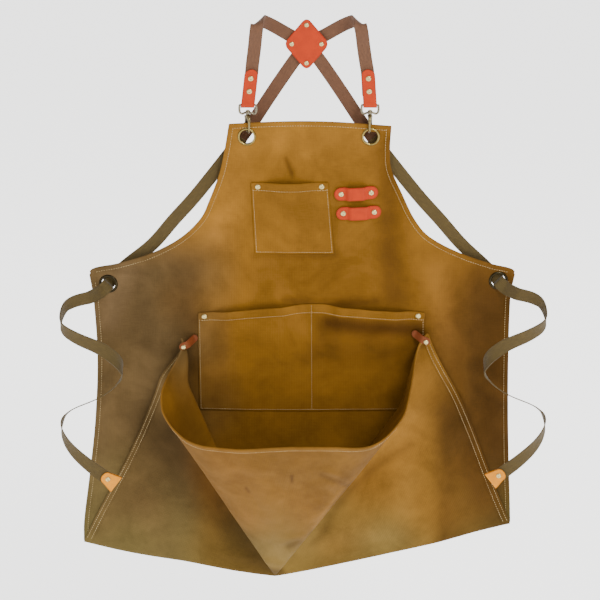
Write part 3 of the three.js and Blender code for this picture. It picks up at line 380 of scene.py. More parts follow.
# Waxed canvas: plain weave, uneven weft, rubbed and blotched wax
def canvasGroup():
    group, start, end = nodeGroup(
        "waxedCanvas",
        [
            ("Vector", "NodeSocketVector", None),
            ("Cloth", "NodeSocketVector", None),
            ("Colour", "NodeSocketColor", (0.3, 0.15, 0.04, 1)),
            ("Rub", "NodeSocketFloat", 0.5),
        ],
        [("Color", "NodeSocketColor"), ("Roughness", "NodeSocketFloat"), ("Height", "NodeSocketFloat")],
    )
    place, cloth = start.outputs["Vector"], start.outputs["Cloth"]
    warp = newNode(group, "ShaderNodeTexWave", [(0, cloth)], wave_type="BANDS", bands_direction="X")
    warp.inputs["Scale"].default_value = 115
    warp.inputs["Distortion"].default_value = 0.6
    warp.inputs["Detail Scale"].default_value = 3
    weft = newNode(group, "ShaderNodeTexWave", [(0, cloth)], wave_type="BANDS", bands_direction="Y")
    weft.inputs["Scale"].default_value = 115
    weft.inputs["Distortion"].default_value = 0.6
    weave = mathNode(group, "MULTIPLY", warp.outputs["Fac"], weft.outputs["Fac"])
    slub = noiseOf(group, stretched(group, cloth, (60, 900, 1)), 1.0, 2.0, 0.6)
    slubUp = noiseOf(group, stretched(group, cloth, (900, 60, 1)), 1.0, 2.0, 0.6)
    blotch = noiseOf(group, place, 9.0, 5.0, 0.62, 0.6)
    patch = noiseOf(group, place, 34.0, 4.0, 0.6, 0.3)
    grainy = noiseOf(group, place, 420.0, 3.0, 0.7)
    light = mixColour(group, 1.0, start.outputs["Colour"], (1.28, 1.22, 1.14, 1), "MULTIPLY")
    dark = mixColour(group, 1.0, start.outputs["Colour"], (0.66, 0.62, 0.56, 1), "MULTIPLY")
    broad = mathNode(group, "MULTIPLY", blotch, 0.85)
    share = mathNode(group, "ADD", broad, mathNode(group, "MULTIPLY", patch, 0.35))
    toned = mixColour(group, ranged(group, share, 0.38, 0.84), dark, light)
    streakAcross = mathNode(group, "MULTIPLY", slub, 0.6)
    streak = mathNode(group, "ADD", streakAcross, mathNode(group, "MULTIPLY", slubUp, 0.4))
    streaked = mixColour(group, ranged(group, streak, 0.3, 0.7, 0.0, 0.34), toned, light)
    speckled = mixColour(group, ranged(group, grainy, 0.62, 0.8, 0.0, 0.2), streaked, dark)
    threads = mixColour(group, ranged(group, weave, 0.0, 0.5, 0.16, 0.0), speckled, dark)
    crackPlace = stretched(group, place, (16, 16, 16))
    crack = newNode(group, "ShaderNodeTexVoronoi", [(0, crackPlace)], feature="DISTANCE_TO_EDGE")
    crackled = ranged(group, crack.outputs["Distance"], 0.0, 0.03, 1.0, 0.0)
    rubShare = mathNode(group, "MULTIPLY", ranged(group, patch, 0.45, 0.7), start.outputs["Rub"])
    rubbed = mathNode(group, "MULTIPLY", crackled, rubShare)
    final = mixColour(group, mathNode(group, "MULTIPLY", rubbed, 0.22), threads, light)
    group.links.new(final, end.inputs["Color"])
    group.links.new(ranged(group, share, 0.35, 0.9, 0.78, 0.62), end.inputs["Roughness"])
    raised = mathNode(group, "MULTIPLY", weave, 0.5)
    height = mathNode(group, "ADD", raised, mathNode(group, "MULTIPLY", streak, 0.45))
    rough = mathNode(group, "ADD", height, mathNode(group, "MULTIPLY", grainy, 0.25))
    group.links.new(rough, end.inputs["Height"])
    return group


# Webbing: fine diagonal ribs that turn at the middle, and a firmer edge on each side
def webbingGroup():
    group, start, end = nodeGroup(
        "wovenWebbing",
        [("Across", "NodeSocketVector", None), ("Colour", "NodeSocketColor", (0.2, 0.1, 0.05, 1))],
        [("Color", "NodeSocketColor"), ("Height", "NodeSocketFloat")],
    )
    split = newNode(group, "ShaderNodeSeparateXYZ", [(0, start.outputs["Across"])])
    across, along = split.outputs[0], split.outputs[1]
    folded = mathNode(group, "ABSOLUTE", mathNode(group, "SUBTRACT", across, 10.3 * mm))
    diagonal = mathNode(group, "ADD", mathNode(group, "MULTIPLY", folded, 1.0), along)
    rib = mathNode(group, "SINE", mathNode(group, "MULTIPLY", diagonal, 2 * math.pi / 0.0019))
    cross = mathNode(group, "SINE", mathNode(group, "MULTIPLY", across, 2 * math.pi / 0.00115))
    weave = mathNode(group, "ADD", mathNode(group, "MULTIPLY", rib, 0.6), mathNode(group, "MULTIPLY", cross, 0.4))
    spread = noiseOf(group, stretched(group, start.outputs["Across"], (900, 90, 1)), 1.0, 3.0, 0.6)
    selvedge = ranged(group, folded, 8.6 * mm, 9.6 * mm)
    dark = mixColour(group, 1.0, start.outputs["Colour"], (0.55, 0.52, 0.5, 1), "MULTIPLY")
    light = mixColour(group, 1.0, start.outputs["Colour"], (1.3, 1.25, 1.2, 1), "MULTIPLY")
    first = mixColour(group, ranged(group, weave, -0.8, 0.8), dark, start.outputs["Colour"])
    second = mixColour(group, ranged(group, spread, 0.4, 0.75, 0.0, 0.6), first, light)
    edgeShare = mathNode(group, "MULTIPLY", selvedge, 0.35)
    group.links.new(mixColour(group, edgeShare, second, dark), end.inputs["Color"])
    group.links.new(mathNode(group, "ADD", weave, mathNode(group, "MULTIPLY", spread, 0.8)), end.inputs["Height"])
    return group


# Smooth leather with fine pores and darker worn edges
def leatherGroup():
    group, start, end = nodeGroup(
        "leatherSkin",
        [
            ("Vector", "NodeSocketVector", None),
            ("Colour", "NodeSocketColor", (0.5, 0.08, 0.04, 1)),
            ("Rim", "NodeSocketFloat", 0.0),
        ],
        [("Color", "NodeSocketColor"), ("Roughness", "NodeSocketFloat"), ("Height", "NodeSocketFloat")],
    )
    place = start.outputs["Vector"]
    pores = newNode(group, "ShaderNodeTexVoronoi", [(0, place)], feature="F1")
    pores.inputs["Scale"].default_value = 1400
    broad = noiseOf(group, place, 60.0, 4.0, 0.6)
    fine = noiseOf(group, place, 900.0, 3.0, 0.6)
    dark = mixColour(group, 1.0, start.outputs["Colour"], (0.62, 0.5, 0.45, 1), "MULTIPLY")
    light = mixColour(group, 1.0, start.outputs["Colour"], (1.18, 1.22, 1.2, 1), "MULTIPLY")
    first = mixColour(group, ranged(group, broad, 0.35, 0.7), start.outputs["Colour"], light)
    second = mixColour(group, ranged(group, fine, 0.5, 0.8, 0.0, 0.35), first, dark)
    rim = mathNode(group, "MULTIPLY", start.outputs["Rim"], 0.75)
    group.links.new(mixColour(group, rim, second, dark), end.inputs["Color"])
    group.links.new(ranged(group, broad, 0.3, 0.75, 0.5, 0.62), end.inputs["Roughness"])
    height = mathNode(group, "ADD", mathNode(group, "MULTIPLY", pores.outputs["Distance"], 0.5), fine)
    group.links.new(height, end.inputs["Height"])
    return group


def metalGroup():
    group, start, end = nodeGroup(
        "handledMetal",
        [("Vector", "NodeSocketVector", None), ("Colour", "NodeSocketColor", (0.6, 0.55, 0.4, 1))],
        [("Color", "NodeSocketColor"), ("Roughness", "NodeSocketFloat"), ("Height", "NodeSocketFloat")],
    )
    place = start.outputs["Vector"]
    tarnish = noiseOf(group, place, 160.0, 4.0, 0.6)
    scratch = noiseOf(group, stretched(group, place, (2600, 300, 700)), 1.0, 2.0, 0.6)
    dark = mixColour(group, 1.0, start.outputs["Colour"], (0.45, 0.4, 0.34, 1), "MULTIPLY")
    tarnished = ranged(group, tarnish, 0.5, 0.78, 0.0, 0.7)
    group.links.new(mixColour(group, tarnished, start.outputs["Colour"], dark), end.inputs["Color"])
    group.links.new(ranged(group, tarnish, 0.3, 0.75, 0.2, 0.45), end.inputs["Roughness"])
    group.links.new(scratch, end.inputs["Height"])
    return group


groups = {
    "canvas": canvasGroup(),
    "webbing": webbingGroup(),
    "leather": leatherGroup(),
    "metal": metalGroup(),
}


def blankMaterial(name):
    material = bpy.data.materials.new(name)
    material.use_nodes = True
    tree = material.node_tree
    shader = tree.nodes["Principled BSDF"]
    coordinates = tree.nodes.new("ShaderNodeTexCoord")
    return material, tree, shader, coordinates


def placeGroup(tree, key, shader, bumpDistance, bumpStrength=1.0, links=(), rough=True):
    made = tree.nodes.new("ShaderNodeGroup")
    made.node_tree = groups[key]
    for label, source in links:
        if isinstance(source, (int, float, tuple)):
            made.inputs[label].default_value = source
        else:
            tree.links.new(source, made.inputs[label])
    tree.links.new(made.outputs["Color"], shader.inputs["Base Color"])
    if rough:
        tree.links.new(made.outputs["Roughness"], shader.inputs["Roughness"])
    bump = tree.nodes.new("ShaderNodeBump")
    bump.inputs["Distance"].default_value = bumpDistance * mm
    bump.inputs["Strength"].default_value = bumpStrength
    tree.links.new(made.outputs["Height"], bump.inputs["Height"])
    tree.links.new(bump.outputs["Normal"], shader.inputs["Normal"])
    return made


# The tint attribute mixes in the tones: red towards grey brown, green towards deep brown, blue towards olive
canvasTones = {
    "gold": srgb(110, 75, 22),
    "greyBrown": srgb(84, 67, 42),
    "deepBrown": srgb(80, 53, 16),
    "olive": srgb(82, 76, 40),
}


def canvasMaterial(name, rub=0.5):
    material, tree, shader, coordinates = blankMaterial(name)
    tint = newNode(tree, "ShaderNodeAttribute", attribute_name="tint")
    wear = newNode(tree, "ShaderNodeAttribute", attribute_name="wear")
    parts = newNode(tree, "ShaderNodeSeparateColor", [(0, tint.outputs["Color"])])
    shadeAndLight = newNode(tree, "ShaderNodeSeparateColor", [(0, wear.outputs["Color"])])
    first = mixColour(tree, parts.outputs[0], canvasTones["gold"], canvasTones["greyBrown"])
    second = mixColour(tree, parts.outputs[1], first, canvasTones["deepBrown"])
    third = mixColour(tree, parts.outputs[2], second, canvasTones["olive"])
    # painted shade and painted light: the second attribute's red darkens the cloth colour where shade is painted,
    # its green lightens it where light is painted
    darker = mixColour(tree, 1.0, third, (0.3, 0.25, 0.2, 1), "MULTIPLY")
    lighter = mixColour(tree, 1.0, third, (1.7, 1.75, 2.4, 1), "MULTIPLY")
    lifted = mixColour(tree, shadeAndLight.outputs[1], third, lighter)
    shaded = mixColour(tree, shadeAndLight.outputs[0], lifted, darker)
    placeGroup(
        tree, "canvas", shader, 0.25, 0.8,
        [
            ("Vector", coordinates.outputs["Object"]),
            ("Cloth", coordinates.outputs["UV"]),
            ("Colour", shaded),
            ("Rub", rub),
        ],
    )
    shader.inputs["Specular IOR Level"].default_value = 0.14
    shader.inputs["Specular Tint"].default_value = (1.0, 0.78, 0.4, 1)
    return material


def webbingMaterial(name, colour):
    material, tree, shader, coordinates = blankMaterial(name)
    links = [("Across", coordinates.outputs["UV"]), ("Colour", colour)]
    placeGroup(tree, "webbing", shader, 0.3, 0.8, links, rough=False)
    shader.inputs["Roughness"].default_value = 0.82
    shader.inputs["Specular IOR Level"].default_value = 0.25
    shader.inputs["Sheen Weight"].default_value = 0.1
    return material


def leatherMaterial(name, colour):
    material, tree, shader, coordinates = blankMaterial(name)
    rim = newNode(tree, "ShaderNodeAttribute", attribute_name="rim")
    placeGroup(
        tree, "leather", shader, 0.12, 0.6,
        [("Vector", coordinates.outputs["Object"]), ("Colour", colour), ("Rim", rim.outputs["Fac"])],
    )
    shader.inputs["Specular IOR Level"].default_value = 0.3
    shader.inputs["Specular Tint"].default_value = (1.0, 0.72, 0.5, 1)
    return material


def metalMaterial(name, colour):
    material, tree, shader, coordinates = blankMaterial(name)
    placeGroup(tree, "metal", shader, 0.04, 0.4, [("Vector", coordinates.outputs["Object"]), ("Colour", colour)])
    shader.inputs["Metallic"].default_value = 1.0
    return material


def threadMaterial():
    material, tree, shader, coordinates = blankMaterial("creamThread")
    twist = noiseOf(tree, coordinates.outputs["Object"], 900.0, 2.0)
    soiled = noiseOf(tree, coordinates.outputs["Object"], 30.0, 3.0)
    base = mixColour(tree, ranged(tree, twist, 0.35, 0.7), srgb(158, 134, 88), srgb(196, 176, 132))
    final = mixColour(tree, ranged(tree, soiled, 0.42, 0.7, 0.0, 0.55), base, srgb(128, 98, 52))
    tree.links.new(final, shader.inputs["Base Color"])
    bump = newNode(tree, "ShaderNodeBump", [(2, twist)])
    bump.inputs["Height"].default_value = 0.0
    tree.links.new(twist, bump.inputs["Height"])
    bump.inputs["Distance"].default_value = 0.1 * mm
    tree.links.new(bump.outputs["Normal"], shader.inputs["Normal"])
    shader.inputs["Roughness"].default_value = 0.75
    return material


materials = {
    "canvas": canvasMaterial("waxedCanvasFront"),
    "reverse": canvasMaterial("waxedCanvasReverse", 0.8),
    "red": leatherMaterial("redOrangeLeather", srgb(152, 37, 6)),
    "gold": leatherMaterial("goldenLeather", srgb(196, 122, 6)),
    "tab": leatherMaterial("brownLeather", srgb(96, 44, 18)),
    "brownWeb": webbingMaterial("brownWebbing", srgb(98, 66, 45)),
    "oliveWeb": webbingMaterial("oliveWebbing", srgb(78, 63, 26)),
    "rivet": metalMaterial("paleBrass", srgb(186, 170, 118)),
    "eyelet": metalMaterial("agedBrass", srgb(128, 110, 62)),
    "darkEyelet": metalMaterial("darkenedBrass", srgb(46, 40, 26)),
    "steel": metalMaterial("platedSteel", srgb(112, 104, 86)),
    "hook": metalMaterial("antiqueHook", srgb(118, 104, 70)),
    "thread": threadMaterial(),
}
print("materials made:", len(materials))

# The apron sheet, in millimetres as the CAD has it
sheet = {
    "thickness": 1.6,
    "halfWidth": 340.0,
    "topZ": -155.0,
    "lowZ": -940.0,
    "lowX": -53.0,
    "frontY": -7.0,
    "wrap": 20.0,
    "rippleDepth": 3.2,
    "topRise": 0.0085,
    "hemWidth": 11.0,
}
flap = {
    "height": 352.0,
    "hemFall": 50.0,
    "left": 320.0,
    "right": 392.0,
    "leftTilt": math.radians(9.5),
    "rightTilt": math.radians(12.8),
    "gap": 1.2,
    "pullLeft": 18.0,
    "pullRight": 8.0,
    "bellyShare": 0.7,
    "tipSpread": 0.07,
    "turnShare": 0.02,
}
sheetHeight = sheet["topZ"] - sheet["lowZ"]
# row, left edge's drop, left edge, right edge's drop, right edge
sideRows = [
    (0.0, 0.0045, -0.357, 0.009, 0.384),
    (0.06, 0.058, -0.378, 0.058, 0.379),
    (0.1, 0.105, -0.402, 0.099, 0.387),
    (0.15, 0.162, -0.45, 0.152, 0.439),
    (0.2, 0.205, -0.498, 0.205, 0.5),
    (0.24, 0.245, -0.592, 0.243, 0.574),
    (0.28, 0.28, -0.735, 0.28, 0.725),
    (0.31, 0.303, -0.89, 0.304, 0.87),
    (0.33, 0.318, -1.016, 0.318, 0.972),
    (0.345, 0.345, -1.018, 0.34, 0.972),
    (0.37, 0.372, -1.009, 0.365, 0.961),
    (0.5, 0.5, -0.998, 0.5, 0.96),
    (0.65, 0.645, -1.018, 0.63, 0.968),
    (0.8, 0.775, -1.056, 0.75, 0.98),
    (0.93, 0.885, -1.092, 0.845, 0.993),
]


def tipRise(across):
    return 2.4 * math.exp(-abs(across) / 28.0)


def foldZ(x):
    across = x - sheet["lowX"]
    tilt = flap["leftTilt"] if across < 0 else flap["rightTilt"]
    return sheet["lowZ"] + abs(across) * math.tan(tilt) + tipRise(across)


foldLeftX = sheet["lowX"] - flap["left"]
foldRightX = sheet["lowX"] + flap["right"]
sideRows.append((
    1.0,
    (sheet["topZ"] - foldZ(foldLeftX)) / sheetHeight,
    foldLeftX / sheet["halfWidth"],
    (sheet["topZ"] - foldZ(foldRightX)) / sheetHeight,
    foldRightX / sheet["halfWidth"],
))

# Soft folds of the hanging cloth: the line they follow, half width and how far they stand out, in millimetres
sheetFolds = [
    (((-32, -213), (-23, -240)), 6, -2.6),
    (((-40, -205), (-95, -262)), 20, 2.0),
    (((-14, -200), (50, -218), (108, -232)), 7, 1.7),
    (((-10, -214), (50, -232), (104, -246)), 10, -1.3),
    (((128, -200), (130, -330), (140, -450)), 19, -4.8),
    (((98, -300), (106, -460)), 22, 2.8),
    (((166, -330), (204, -470), (222, -560)), 20, 3.2),
    (((-166, -345), (-205, -440), (-214, -520)), 22, -4.6),
    (((-116, -360), (-150, -450), (-176, -540)), 24, 3.4),
    (((-66, -166), (-72, -236)), 18, 1.4),
    (((34, -166), (26, -238)), 20, -1.4),
    (((-36, -446), (15, -455), (105, -450)), 6, -2.2),
    (((-30, -436), (20, -443), (110, -439)), 8, 1.6),
    (((60, -458), (120, -462), (186, -466)), 8, 1.4),
    (((-268, -480), (-280, -600), (-292, -690)), 24, -4.0),
    (((-226, -500), (-236, -640)), 20, 3.0),
    (((-300, -440), (-312, -560), (-318, -700)), 14, 1.8),
    (((250, -490), (258, -600), (252, -680)), 12, 3.0),
    (((278, -470), (290, -600), (286, -720)), 18, -3.4),
    (((312, -520), (308, -720)), 12, 2.0),
    (((-318, -560), (-328, -760)), 12, 1.8),
]
# Places where the cloth lies flat under what is fastened to it
calmSpots = [(-94.2, -178, 26), (99.2, -178, 26), (-318.5, -427, 24), (306.5, -421, 24), (78, -286, 46)]


def pathDistance(path, x, z):
    nearest, walked, place = 1e9, 0.0, 0.0
    for (ax, az), (bx, bz) in zip(path, path[1:]):
        dx, dz = bx - ax, bz - az
        length = math.hypot(dx, dz)
        t = min(1.0, max(0.0, ((x - ax) * dx + (z - az) * dz) / (length * length)))
        away = math.hypot(x - ax - t * dx, z - az - t * dz)
        if away < nearest:
            nearest, place = away, walked + t * length
        walked += length
    return nearest, place / walked


def foldsAt(table, x, z):
    total = 0.0
    for path, width, depth in table:
        if not (min(a for a, b in path) - 3 * width < x < max(a for a, b in path) + 3 * width):
            continue
        away, share = pathDistance(path, x, z)
        if away < 3 * width:
            taper = 0.45 + 0.55 * math.sin(math.pi * share)
            total += depth * taper * math.exp(-away * away / (width * width))
    return total


# Where a point ahead of the sheet is seen from the photo's side, measured on the sheet's own plane
view = {"middleX": -11.2, "distance": 3830.0, "fall": 0.364}


def seenAt(x, y, z):
    ahead = sheet["frontY"] - y
    nearer = 1 + ahead / view["distance"]
    return (x - view["middleX"]) * nearer + view["middleX"], z - view["fall"] * ahead


# Painted shade in the creases and valleys and under the pockets and the pouch, and painted light on the lit
# places of the waxed cloth: the line they follow, half width and strength
sheetShades = [
    (((130, -190), (128, -320), (138, -440)), 24, 0.62),
    (((-200, -395), (-188, -510)), 40, 0.5),
    (((-262, -410), (-262, -520)), 20, 0.25),
    (((290, -430), (305, -620), (312, -820)), 46, 0.62),
    (((160, -430), (185, -500)), 24, 0.3),
    (((-190, -560), (-232, -650), (-240, -700)), 38, 0.6),
    (((-36, -448), (15, -457), (110, -452)), 7, 0.5),
    (((-33, -214), (-23, -240)), 4, 0.6),
    (((46, -262), (42, -366)), 7, 0.25),
    (((-84, -374), (44, -373)), 7, 0.3),
    (((0, -400), (70, -440)), 60, 0.34),
    (((-180, -480), (190, -478)), 9, 0.3),
]
sheetLights = [
    (((-105, -180), (-140, -330)), 30, 0.55),
    (((-60, -178), (85, -182)), 36, 0.35),
    (((205, -400), (232, -520)), 20, 0.4),
    (((-330, -900), (-290, -850), (-200, -900)), 44, 0.5),
    (((-290, -400), (-320, -480)), 26, 0.35),
]
flapShades = [
    (((228, -650), (230, -770), (228, -880)), 17, 0.55),
    (((60, -742), (75, -768), (48, -808)), 10, 0.3),
    (((24, -742), (68, -764)), 4, 0.45),
    (((-25, -744), (-24, -755)), 2.5, 0.8),
    (((-100, -767), (-95, -774)), 2.5, 0.6),
    (((-30, -880), (-12, -872)), 7, 0.5),
    (((36, -850), (12, -880)), 8, 0.35),
    (((252, -640), (290, -760), (332, -850)), 46, 0.72),
    (((236, -600), (262, -760), (250, -880)), 34, 0.45),
    (((170, -700), (112, -742), (78, -776), (50, -812), (26, -852)), 8, 0.32),
]
flapLights = [
    (((195, -578), (158, -700), (165, -810)), 26, 0.3),
    (((-75, -738), (-5, -802)), 40, 0.12),
    (((-45, -884), (155, -862)), 26, 0.35),
    (((148, -670), (106, -724), (70, -756), (40, -794), (15, -842)), 5, 0.45),
]
# painted shadow inside and below the lower pocket's sagging mouth
pocketShades = [(((36, -488), (100, -496), (180, -500)), 17, 0.95), (((20, -530), (180, -540)), 30, 0.5)]


def shadesAt(table, x, z):
    left = 1.0
    for path, width, strength in table:
        away, _ = pathDistance(path, x, z)
        if away < 2.6 * width:
            left *= 1 - strength * math.exp(-away * away / (width * width))
    return 1 - left


def ripple(x, z):
    low = smoothStep((-z - 480) / 300)
    side = smoothStep((abs(x) / sheet["halfWidth"] - 0.35) / 0.4)
    return sheet["rippleDepth"] * low * side * math.sin(x / sheet["halfWidth"] * 9)


def sheetFront(x, z):
    share = x / sheet["halfWidth"]
    base = sheet["frontY"] + sheet["wrap"] * share * share + ripple(x, z)
    calm = 1.0
    for cx, cz, reach in calmSpots:
        calm *= smoothStep(math.hypot(x - cx, z - cz) / reach - 0.35)
    slack = noise.noise(Vector((x * 0.016, 3.7, z * 0.011))) * 1.3
    slack += noise.noise(Vector((x * 0.05, 9.1, z * 0.035))) * 0.45
    return base - calm * (foldsAt(sheetFolds, x, z) + slack)


def sheetEdge(v, side):
    left, right = smoothRow(sideRows, v, 2), smoothRow(sideRows, v, 4)
    return (left if side < 0 else right) * sheet["halfWidth"]


def sheetPoint(u, v):
    left, right = sheetEdge(v, -1), sheetEdge(v, 1)
    leftZ = sheet["topZ"] - smoothRow(sideRows, v, 1) * sheetHeight
    rightZ = sheet["topZ"] - smoothRow(sideRows, v, 3) * sheetHeight
    x = left + (right - left) * u
    corners = leftZ + (rightZ - leftZ) * u
    cornerAtFold = foldZ(left) + (foldZ(right) - foldZ(left)) * u
    dip = (foldZ(x) - cornerAtFold) * v**3
    bow = math.sin(math.pi * u) * sheet["topRise"] * sheetHeight * (1 - v) ** 6
    return x, corners + dip + bow + 0.6 * v**12


def sheetPlace(u, v):
    x, z = sheetPoint(u, v)
    return x, sheetFront(x, z), z


def surfaceNormal(x, z):
    step = 1.0
    return Vector((
        (sheetFront(x + step, z) - sheetFront(x - step, z)) / (2 * step),
        -1.0,
        (sheetFront(x, z + step) - sheetFront(x, z - step)) / (2 * step),
    )).normalized()


# How the colour of the wax runs over the apron; places are of the finished piece, in millimetres
def tintAt(x, y, z, reverse=False):
    swirl = noise.noise(Vector((x * 0.011, y * 0.011, z * 0.009 + 4.0)))
    left = smoothStep((-x - 95 + 60 * swirl) / 150) * smoothStep((-z - 290) / 120)
    right = smoothStep((x - 150 + 60 * swirl) / 120) * smoothStep((-z - 300) / 160)
    low = smoothStep((-z - 660 + 70 * swirl) / 260)
    if reverse:
        left = smoothStep((-x - 150 + 30 * swirl) / 70) * smoothStep((y + 90) / 70) * 0.9
        right = smoothStep((x - 215 + 40 * swirl) / 90) * 0.55
        low = 0.1 + 0.6 * smoothStep((-z - 740 + 70 * swirl) / 180) + 0.1 * swirl
    return min(1, left), min(1, right), min(1, max(0, low * 0.85))


# The second colour attribute holds painted shade in red and painted light in green; lift adds an even lighter
# tone over the whole piece
def paintTint(piece, reverse=False, shades=(), lights=(), lift=0.0):
    layer = piece.data.color_attributes.new(name="tint", type="FLOAT_COLOR", domain="POINT")
    wear = piece.data.color_attributes.new(name="wear", type="FLOAT_COLOR", domain="POINT")
    for vertex, tone, shadeAndLight in zip(piece.data.vertices, layer.data, wear.data):
        x, y, z = vertex.co / mm
        tone.color = (*tintAt(x, y, z, reverse), 1.0)
        seenX, seenZ = seenAt(x, y, z)
        # painted shade and painted light go on the front faces only
        front = 1.0 if reverse or y < sheetFront(x, z) + 0.8 else 0.0
        dark = shadesAt(shades, seenX, seenZ) * front
        # on the pouch: painted shadow left of it, and painted shade that deepens where the cloth stands further
        # forward
        if reverse:
            dark = 1 - (1 - dark) * (1 - underPouch(x, y, seenX, seenZ)) * (1 - 0.28 * smoothStep((-20 - y) / 40))
        shadeAndLight.color = (dark, min(1.0, shadesAt(lights, seenX, seenZ) * front + lift), 0.0, 1.0)


# Left of the pouch the flat flap lies in the pouch's own shadow
def underPouch(x, y, seenX, seenZ):
    away, _ = pathDistance(((-212, -690), (-135, -803), (-62, -908)), seenX, seenZ)
    edge = -212 + (seenZ + 690) * -0.69
    return 0.85 * math.exp(-(away / 66) ** 2) * smoothStep((edge + 16 - seenX) / 14) * smoothStep((y + 26) / 10)


def paintRim(piece, value):
    layer = piece.data.attributes.new(name="rim", type="FLOAT", domain="POINT")
    for vertex, target in zip(piece.data.vertices, layer.data):
        target.value = value(vertex.co / mm)


eyelets = [
    ("bib_eyelet_left", -94.2, -178.0),
    ("bib_eyelet_right", 99.2, -178.0),
    ("waist_eyelet_left", -318.5, -427.0),
    ("waist_eyelet_right", 306.5, -421.0),
]


def openEdge(mesh):
    uses = {}
    for polygon in mesh.polygons:
        for key in polygon.edge_keys:
            uses[key] = uses.get(key, 0) + 1
    return {index for key, count in uses.items() if count == 1 for index in key}


# The cloth is cut round each eyelet and its new edge drawn in to a circle
def cutHoles(piece, radius):
    pick(piece)
    mesh = piece.data

    def away(vertex, eyelet):
        return math.hypot(vertex.co.x / mm - eyelet[1], vertex.co.z / mm - eyelet[2])

    outside = {tuple(mesh.vertices[index].co) for index in openEdge(mesh)}
    doomed = [v.index for v in mesh.vertices if any(away(v, eyelet) < radius for eyelet in eyelets)]
    bpy.ops.object.mode_set(mode="EDIT")
    bpy.ops.mesh.select_mode(type="VERT")
    bpy.ops.mesh.select_all(action="DESELECT")
    bpy.ops.object.mode_set(mode="OBJECT")
    for index in doomed:
        mesh.vertices[index].select = True
    bpy.ops.object.mode_set(mode="EDIT")
    bpy.ops.mesh.delete(type="VERT")
    bpy.ops.object.mode_set(mode="OBJECT")
    for index in openEdge(mesh):
        vertex = mesh.vertices[index]
        for eyelet in eyelets:
            if tuple(vertex.co) not in outside and away(vertex, eyelet) < radius + 16:
                angle = math.atan2(vertex.co.z / mm - eyelet[2], vertex.co.x / mm - eyelet[1])
                x = eyelet[1] + radius * math.cos(angle)
                z = eyelet[2] + radius * math.sin(angle)
                vertex.co = Vector((x, sheetFront(x, z), z)) * mm


def sheetUv(u, v):
    x, z = sheetPoint(u, v)
    return (x + 400) * mm, (z + 1000) * mm


apronCloth = gridPiece("apronCloth", evenly(150), evenly(178), sheetPlace, sheetUv, flip=True)
cutHoles(apronCloth, 13.2)
thicken(apronCloth, sheet["thickness"], bevel=0)
paintTint(apronCloth, shades=sheetShades, lights=sheetLights)
finishPiece(apronCloth, materials["canvas"], nodes=["apron_body"])

# Hems: the cloth's edge turned over to the back and stitched
hemSection = [
    (9.6, -0.7), (9.5, 0.12), (8.6, 0.42), (6.6, 0.2), (4.6, 0.52), (1.6, 0.5), (0.1, 0.3), (-0.7, -0.3),
    (-0.9, -1.0), (-0.6, -2.0), (0.6, -2.7), (4.6, -2.9), (6.6, -2.6), (9.6, -2.85), (11.0, -2.6), (11.2, -1.3),
]


def edgePoints(kind):
    if kind == "top":
        return [sheetPoint(u, 0.0) for u in evenly(90)]
    side = -1 if kind.endswith("Left") else 1
    u = 0.0 if side < 0 else 1.0
    low, high = (0.0, 0.333) if kind.startswith("armhole") else (0.336, 1.0)
    return [sheetPoint(u, v) for v in evenly(150, low, high)]


# inward is a quarter turn from the way the edge runs
def sheetHem(kind):
    points = [Vector((x, z)) for x, z in edgePoints(kind)]
    sign = 1 if kind.endswith("Left") else -1
    lengths = [0.0]
    for p, q in zip(points, points[1:]):
        lengths.append(lengths[-1] + (q - p).length)

    def surface(share, distance):
        at = share * (len(points) - 1)
        i = min(int(at), len(points) - 2)
        here = points[i] + (points[i + 1] - points[i]) * (at - i)
        first, last = points[max(0, i - 2)], points[min(len(points) - 1, i + 3)]
        along = (last - first).normalized()
        inward = Vector((-along.y, along.x)) * sign
        spot = here + inward * distance
        return Vector((spot.x, sheetFront(spot.x, spot.y), spot.y)), surfaceNormal(spot.x, spot.y)

    return surface, lengths[-1]


stitchPaths = []
for kind in ("top", "armholeLeft", "armholeRight", "skirtLeft", "skirtRight"):
    surface, length = sheetHem(kind)
    band = bandPiece(f"hem{kind[0].upper()}{kind[1:]}", max(40, int(length / 4)), surface, hemSection)
    paintTint(band, shades=sheetShades, lights=sheetLights)
    finishPiece(band, materials["canvas"])
    margin = 6.6 / length
    spots = []
    for share in evenly(260, margin, 1 - (margin if kind != "skirtLeft" and kind != "skirtRight" else 0)):
        spot, normal = surface(share, 6.6)
        spots.append((spot + normal * 0.25, normal))
    stitchPaths.append(spots)
hemStitches = stitchPiece("hemStitches", stitchPaths)
finishPiece(hemStitches, materials["thread"])
print("hems done")

# The flap that makes the pouch: flat cloth wrapped on a cone about the fold's lowest point
# cloth angle from straight down, lean from straight up, forward towards the front, in degrees
flapDirections = [
    (-99.5, -80.5, 0), (-78, -56, 0), (-60, -37.5, 0.5), (-49, -26.5, 2), (-42.5, -22, 4.5), (-36, -24.5, 9.5),
    (-28, -27, 16.5), (-16, -23, 24), (-4, -12, 28), (8, 1, 29), (20, 15, 28.5), (30, 26, 26), (38, 30.3, 19.5),
    (46, 31.8, 10), (53, 33.5, 2.2), (75, 53, 0), (102.8, 77.2, 0),
]
cornerPulls = [(-1, (28, 34, -13), 100), (1, (-22, 22, 20), 125)]
